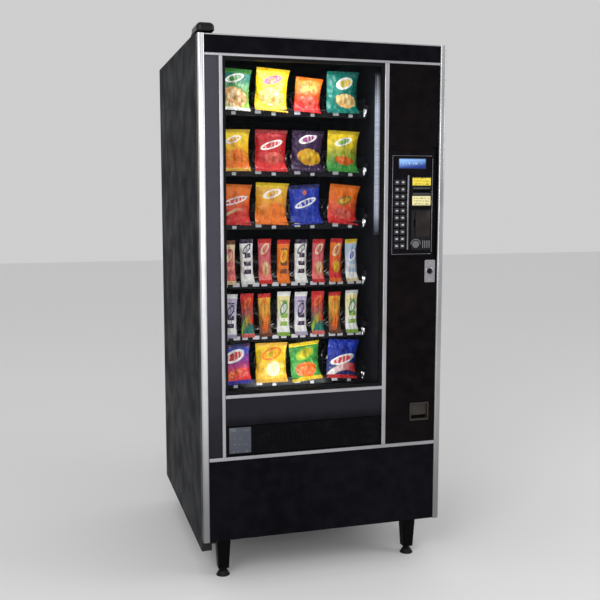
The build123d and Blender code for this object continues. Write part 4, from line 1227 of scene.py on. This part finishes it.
# ---------------------------------------------------------------- door
@dataclass
class Door:
    """The door: frame, bright trims, dark panels, window, flap, coin cup and lock."""

    # painted shade: the trims' last two numbers darken them towards the bottom and towards the
    # right, the bars' last number darkens them towards the bottom
    trim: BrushedMetal = BrushedMetal("edge_trim", (0.74, 0.745, 0.77), (500.0, 500.0, 5.0), 0.3,
                                      0.3, 0.95, 0.5)
    bars: BrushedMetal = BrushedMetal("divider_bar", (0.50, 0.49, 0.52), (400.0, 400.0, 8.0), 0.34,
                                      0.35, 0.45)
    panel: PebbledSkin = PebbledSkin(
        "panel_skin", (0.0020, 0.0020, 0.0036), (0.0052, 0.0052, 0.0084), 0.46, 330.0, 0.35, 0.04,
        # painted sheen on the left column and on the band above the delivery flap
        ((-407.0, -360.0, 440.0, 1760.0, (0.098, 0.094, 0.118)),
         (-350.0, 206.0, 549.0, 645.0, (0.027, 0.026, 0.035))))
    front: PebbledSkin = PebbledSkin("control_skin", (0.0018, 0.0012, 0.0018),
                                     (0.0060, 0.0036, 0.0048), 0.42, 260.0, 0.35, 0.05)
    frame_paint: PowderCoat = PowderCoat("door_paint", (0.005, 0.005, 0.006), 0.45, 0.2, 500.0,
                                         0.12)
    rubber: MouldedPlastic = MouldedPlastic("gasket_rubber", (0.003, 0.003, 0.004), 0.5, 0.2, 0.12)
    flap: MouldedPlastic = MouldedPlastic("flap_plastic", (0.0010, 0.0010, 0.0020), 0.3, 0.1, 0.06)
    cup: MouldedPlastic = MouldedPlastic("cup_plastic", (0.030, 0.025, 0.021), 0.42, 0.2, 0.2)
    plate: BrushedMetal = BrushedMetal("lock_plate_steel", (0.40, 0.38, 0.41), (30.0, 400.0, 500.0),
                                       0.34, 0.3)
    cylinder: BrushedMetal = BrushedMetal("lock_cylinder", (0.030, 0.028, 0.030),
                                          (300.0, 300.0, 300.0), 0.25, 0.3)
    bin: PowderCoat = PowderCoat("bin_paint", (0.010, 0.010, 0.012), 0.45, 0.2, 480.0, 0.15)
    label_ground: Colour = (0.054, 0.060, 0.078)
    flap_face: float = -447.0
    card_left: float = 9.0
    card_size: tuple[float, float] = (75.0, 24.0)
    lip: float = 3.0
    rim: float = 4.0
    lock_x: float = 378.0
    collar_radius: float = 11.4
    collar_flare: float = 1.22
    collar_height: float = 1.4
    plate_screw_inset: float = 9.0
    washer_at: tuple[float, float] = (-416.0, -433.0)

    def build(self) -> None:
        """Dress the door's nodes and add the pieces on it."""
        dress("edge_trims", self.trim.make())
        dress("divider_bars", self.bars.make())
        dress("front_panels", self.panel.make())
        dress("control_panel", self.front.make())
        dress("door_frame", self.frame_paint.make())
        dress("window_gasket", self.rubber.make())
        dress("window_glass", WindowGlass().make())
        dress("delivery_flap", self.flap.make())
        dress("delivery_bin", self.bin.make())
        cup = self.cup.make()
        dress("coin_cup", cup)
        dress("coin_cup_flap", cup)
        plate = self.plate.make()
        dress("lock_plate", plate)
        dress("door_lock", self.cylinder.make())
        self._flap_label()
        self._cup_trim(cup)
        self._lock_ring(plate)
        self._hinge_washer()

    def _flap_label(self) -> None:
        """Add the card of generic marks at the left of the delivery flap."""
        low, high = limits("delivery_flap")
        face, left = self.flap_face, low.x + self.card_left
        width, line = self.card_size
        shape = Shape("flap_card")
        shape.block((left, face - 0.9, low.z + 6), (left + width, face + 0.3, high.z - 4), 0.4)
        card = PrintedCard("flap_card", self.label_ground, (0.11, 0.118, 0.14),
                           (width * MM, line * MM), (left * MM, 0.0, low.z * MM), 0.44)
        shape.finish([card.make()], "delivery_flap")

    def _cup_trim(self, cup: bpy.types.Material) -> None:
        """Add the rounded lip round the coin cup's mouth."""
        low, high = limits("coin_cup")
        shape = Shape("coin_cup_lip")
        front, back, lip, rim = low.y - 2.4, low.y + 1.2, self.lip, self.rim
        bottom, top = low.z + rim - 1, high.z - rim + 2.5
        shape.block((low.x - lip, front, low.z - lip), (high.x + lip, back, low.z + rim), 1.4)
        shape.block((low.x - lip, front, high.z - rim + 1.5), (high.x + lip, back, high.z + lip),
                    1.4)
        shape.block((low.x - lip, front, bottom), (low.x + 1.8, back, top), 1.2)
        shape.block((high.x - 1.8, front, bottom), (high.x + lip, back, top), 1.2)
        shape.finish([cup], "door")

    def _lock_ring(self, plate: bpy.types.Material) -> None:
        """Add the turned collar round the lock cylinder and the two plate screws."""
        low, high = limits("lock_plate")
        x, z, rise = self.lock_x, (low.z + high.z) / 2, self.collar_height
        shape = Shape("lock_collar")
        facing = Matrix.Rotation(math.pi / 2, 4, "X")
        ring = bmesh.ops.create_circle(shape.mesh, cap_ends=False, segments=36,
                                       radius=self.collar_radius, matrix=facing)["verts"]
        edges = shape.edges_of(ring)
        bmesh.ops.translate(shape.mesh, verts=ring, vec=(x, low.y - rise, z))
        outer = bmesh.ops.extrude_edge_only(shape.mesh, edges=edges)["geom"]
        wide = [item for item in outer if isinstance(item, bmesh.types.BMVert)]
        bmesh.ops.scale(shape.mesh, vec=(self.collar_flare, 1.0, self.collar_flare), verts=wide,
                        space=Matrix.Translation((-x, -low.y, -z)))
        bmesh.ops.translate(shape.mesh, verts=wide, vec=(0.0, rise, 0.0))
        bmesh.ops.solidify(shape.mesh, geom=list(shape.mesh.faces), thickness=1.0)
        for level in (low.z + self.plate_screw_inset, high.z - self.plate_screw_inset):
            shape.screw((x, low.y + 0.2, level), "Y", -1.0, 3.6)
        shape.finish([plate], "door")

    def _hinge_washer(self) -> None:
        """Add the bearing washer between the lower hinge bracket and the door."""
        low, _ = limits("door_frame")
        shape = Shape("hinge_washer")
        shape.disc((*self.washer_at, low.z - 1.5), 9.0, 2.2, "Z", 1.0, 24, 0.4)
        zinc = BrushedMetal("washer_zinc", (0.5, 0.5, 0.48), (200.0, 200.0, 200.0), 0.35).make()
        shape.finish([zinc], "cabinet")


# ---------------------------------------------------------------- selection panel
@dataclass
class SelectionPanel:
    """The bezel with display, keys, note reader and coin parts."""

    key_pitch: tuple[float, float] = (21.6, 24.1)
    face: float = -454.0
    strip_span: tuple[float, float] = (291.0, 296.0)
    line_span: tuple[float, float] = (235.0, 382.0)
    line_width: float = 1.4
    line_insets: tuple[float, float] = (6.0, 15.0)
    card_width: float = 68.0
    card_inset: float = 3.0
    arch_radius: float = 17.5
    rib_pitch: float = 8.0
    rib_count: int = 4
    bezel: MouldedPlastic = MouldedPlastic("bezel_plastic", (0.0030, 0.0022, 0.0034), 0.34, 0.12,
                                           0.07)
    reader: MouldedPlastic = MouldedPlastic("reader_plastic", (0.005, 0.005, 0.006), 0.36, 0.15,
                                            0.18)
    button: MouldedPlastic = MouldedPlastic("return_button", (0.12, 0.12, 0.13), 0.35, 0.1, 0.3)
    chrome: BrushedMetal = BrushedMetal("bezel_chrome", (0.30, 0.29, 0.34), (300.0, 300.0, 14.0),
                                        0.22, 0.4)
    bronze: MouldedPlastic = MouldedPlastic("coin_plate", (0.012, 0.009, 0.008), 0.3, 0.1, 0.25)
    rib: MouldedPlastic = MouldedPlastic("return_arch", (0.13, 0.13, 0.135), 0.36, 0.1, 0.45)

    def build(self) -> None:
        """Dress the nodes and add the strips, cards, coin plate and return arch."""
        dress("control_bezel", self.bezel.make())
        low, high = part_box("display_window")
        dress("display_window", BlueDisplay(low.x, high.x, low.z, high.z, low.y).make())
        first_low, first_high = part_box("key_01")
        middle = (first_low + first_high) / 2
        cap = KeyCap(middle.x, middle.z, self.key_pitch[0] * MM, self.key_pitch[1] * MM).make()
        for number in range(1, 21):
            dress(f"key_{number:02d}", cap)
        reader = self.reader.make()
        dress("bill_validator", reader)
        dress("coin_mechanism", reader)
        dress("coin_return_button", self.button.make())
        self._chrome(self.chrome.make())
        self._labels()
        self._coin_plate()
        self._return_arch()

    def _chrome(self, chrome: bpy.types.Material) -> None:
        """Add the strip beside the keys, the bezel's right edge and its thin outlines."""
        _, bill_high = limits("bill_validator")
        coin_low, _ = limits("coin_mechanism")
        bezel_low, bezel_high = limits("control_bezel")
        shape = Shape("bright_strips")
        left, right = self.strip_span
        shape.block((left, self.face - 1.8, coin_low.z + 2),
                    (right, self.face + 0.4, bill_high.z + 4), 0.8)
        shape.block((bezel_high.x - 4.4, -457.0, bezel_low.z + 12),
                    (bezel_high.x - 2.2, -455.2, bezel_high.z - 24), 0.5)
        left, right = self.line_span
        bottom, top = bezel_low.z + self.line_insets[0], bezel_high.z - self.line_insets[1]
        front, back, width = self.face - 1.0, self.face + 0.4, self.line_width
        shape.block((left, front, bottom), (left + width, back, top), 0.3)
        for level in (bottom, top - width):
            shape.block((left, front, level), (right, back, level + width), 0.3)
        shape.finish([chrome], "door")

    def _labels(self) -> None:
        """Add the two printed cards above and below the note slot."""
        low, high = limits("bill_validator")
        cards = (
            ("note_card_upper", (high.z - 30, high.z - 4), (0.86, 0.66, 0.05), (0.05, 0.045, 0.03)),
            ("note_card_lower", (low.z + 4, low.z + 36), (0.80, 0.72, 0.36), (0.09, 0.05, 0.03)),
        )
        for name, (bottom, top), ground, mark in cards:
            shape = Shape(name)
            left, width = low.x + self.card_inset, self.card_width
            shape.block((left, low.y - 0.5, bottom), (left + width, low.y + 0.4, top), 0.3)
            card = PrintedCard(name, ground, mark, (width * MM, 10 * MM),
                               (left * MM, 0.0, bottom * MM), 0.5)
            shape.finish([card.make()], "door")
        shape = Shape("note_guides")
        for level in (low.z + 42, low.z + 62):
            shape.block((low.x + 5, low.y - 1.2, level), (low.x + 69, low.y + 0.4, level + 1.6),
                        0.6)
        guide = MouldedPlastic("note_guide", (0.20, 0.20, 0.22), 0.3, 0.1, 0.5)
        shape.finish([guide.make()], "door")

    def _coin_plate(self) -> None:
        """Add the dark plate beside the coin slot with its raised rim."""
        low, high = limits("coin_mechanism")
        shape = Shape("coin_plate")
        shape.block((low.x + 19, low.y - 1.1, low.z + 46), (low.x + 70, low.y + 0.4, high.z - 6),
                    1.0)
        shape.block((low.x + 3, low.y - 1.1, low.z + 46), (low.x + 7, low.y + 0.4, high.z - 6), 0.8)
        shape.finish([self.bronze.make()], "door")

    def _return_arch(self) -> None:
        """Add the ribbed arch over the coin return button."""
        low, _ = limits("coin_mechanism")
        button_low, button_high = limits("coin_return_button")
        x = (button_low.x + button_high.x) / 2
        z = (button_low.z + button_high.z) / 2
        shape = Shape("return_arch")
        place = Matrix.Translation((x + self.arch_radius, low.y + 0.6, z))
        start = bmesh.ops.create_circle(shape.mesh, cap_ends=False, segments=8, radius=1.7,
                                        matrix=place)["verts"]
        shape.sweep(start, (x, low.y, z), (0.0, -1.0, 0.0), (0.0, 0.0, 0.0), math.pi, 20)
        for number in range(self.rib_count):
            across = number * self.rib_pitch
            shape.block((x + 24 + across, low.y - 1.4, low.z + 7),
                        (x + 28 + across, low.y + 0.4, low.z + 33), 0.8)
        shape.finish([self.rib.make()], "door")


# ---------------------------------------------------------------- lamp
@dataclass
class Lamp:
    """The tube light at the right of the window."""

    def build(self) -> None:
        """Dress the lamp."""
        low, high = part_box("lamp")
        dress("lamp", TubeGlow(low.z, high.z).make())


# ---------------------------------------------------------------- studio
@dataclass
class Studio:
    """Pale floor, soft lights and the camera."""

    eye: Place = (-0.9145, -3.2472, 1.3093)
    turn: Place = (83.29, 0.0, -16.40)
    lens: float = 52.5
    floor_size: float = 30.0
    floor_colour: Colour = (0.86, 0.86, 0.86)
    sensor: float = 36.0
    sky_strength: float = 0.62
    lights: tuple[tuple[str, Place, Place, float, float, float], ...] = (
        ("key", (-3.2, -4.2, 3.6), (0.0, 0.0, 1.0), 2.4, 80.0, 0.0),
        ("fill", (4.2, -2.6, 2.6), (0.0, 0.0, 1.0), 2.2, 46.0, 0.0),
        ("front", (-0.6, -3.6, 1.4), (-0.08, 0.0, 1.2), 0.9, 24.0, 0.0),
        ("inside_top", (-0.08, -0.385, 1.74), (-0.08, -0.20, 0.9), 0.30, 1.15, 0.05),
        ("inside_low", (-0.08, -0.385, 0.64), (-0.08, -0.25, 1.2), 0.30, 0.55, 0.05))

    def build(self) -> None:
        """Build the floor, the lights and the camera."""
        self._floor()
        self._world()
        for light in self.lights:
            self._light(*light)
        camera = bpy.data.cameras.new("camera")
        camera.lens = self.lens
        camera.sensor_width = self.sensor
        stand = add_object("camera", camera)
        stand.location = self.eye
        stand.rotation_euler = tuple(math.radians(angle) for angle in self.turn)
        bpy.context.scene.camera = stand
        bpy.context.scene.view_settings.view_transform = "Standard"

    def _floor(self) -> None:
        """Add the floor."""
        mesh = bmesh.new()
        bmesh.ops.create_grid(mesh, x_segments=1, y_segments=1, size=self.floor_size / 2)
        data = bpy.data.meshes.new("floor")
        mesh.to_mesh(data)
        mesh.free()
        mix = Recipe("floor", Roughness=0.7, Specular_IOR_Level=0.2)
        tone = mix.mix(mix.grain(1.5, 2.0), self.floor_colour, toned(self.floor_colour, 0.99))
        mix.feed("Base Color", tone)
        data.materials.append(mix.material)
        add_object("floor", data)

    def _world(self) -> None:
        """Set an even pale surrounding light."""
        world = bpy.data.worlds.new("studio")
        world.use_nodes = True
        sky = world.node_tree.nodes["Background"]
        sky.inputs["Color"].default_value = (1.0, 1.0, 1.0, 1.0)
        sky.inputs["Strength"].default_value = self.sky_strength
        bpy.context.scene.world = world

    def _light(self, name: str, at: Place, aim: Place, size: float, power: float,
               depth: float) -> None:
        """Add one soft light.

        Args:
            name: the light's name.
            at: where it stands.
            aim: the point it faces.
            size: its width in metres.
            power: its power in watts.
            depth: its height where it is not square, or 0.
        """
        light = bpy.data.lights.new(name, "AREA")
        light.energy = power
        light.size = size
        if depth > 0.0:
            light.shape = "RECTANGLE"
            light.size_y = depth
        stand = add_object(name, light)
        stand.location = at
        stand.rotation_euler = (Vector(aim) - Vector(at)).to_track_quat("-Z", "Y").to_euler()


def main() -> None:
    """Build every sub-assembly."""
    logging.basicConfig(level=logging.INFO, format="%(name)s %(message)s")
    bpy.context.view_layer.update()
    Cabinet().build()
    trays = Trays()
    trays.build()
    Goods(trays).build()
    Door().build()
    SelectionPanel().build()
    Lamp().build()
    Studio().build()


if __name__ == "__main__":
    main()
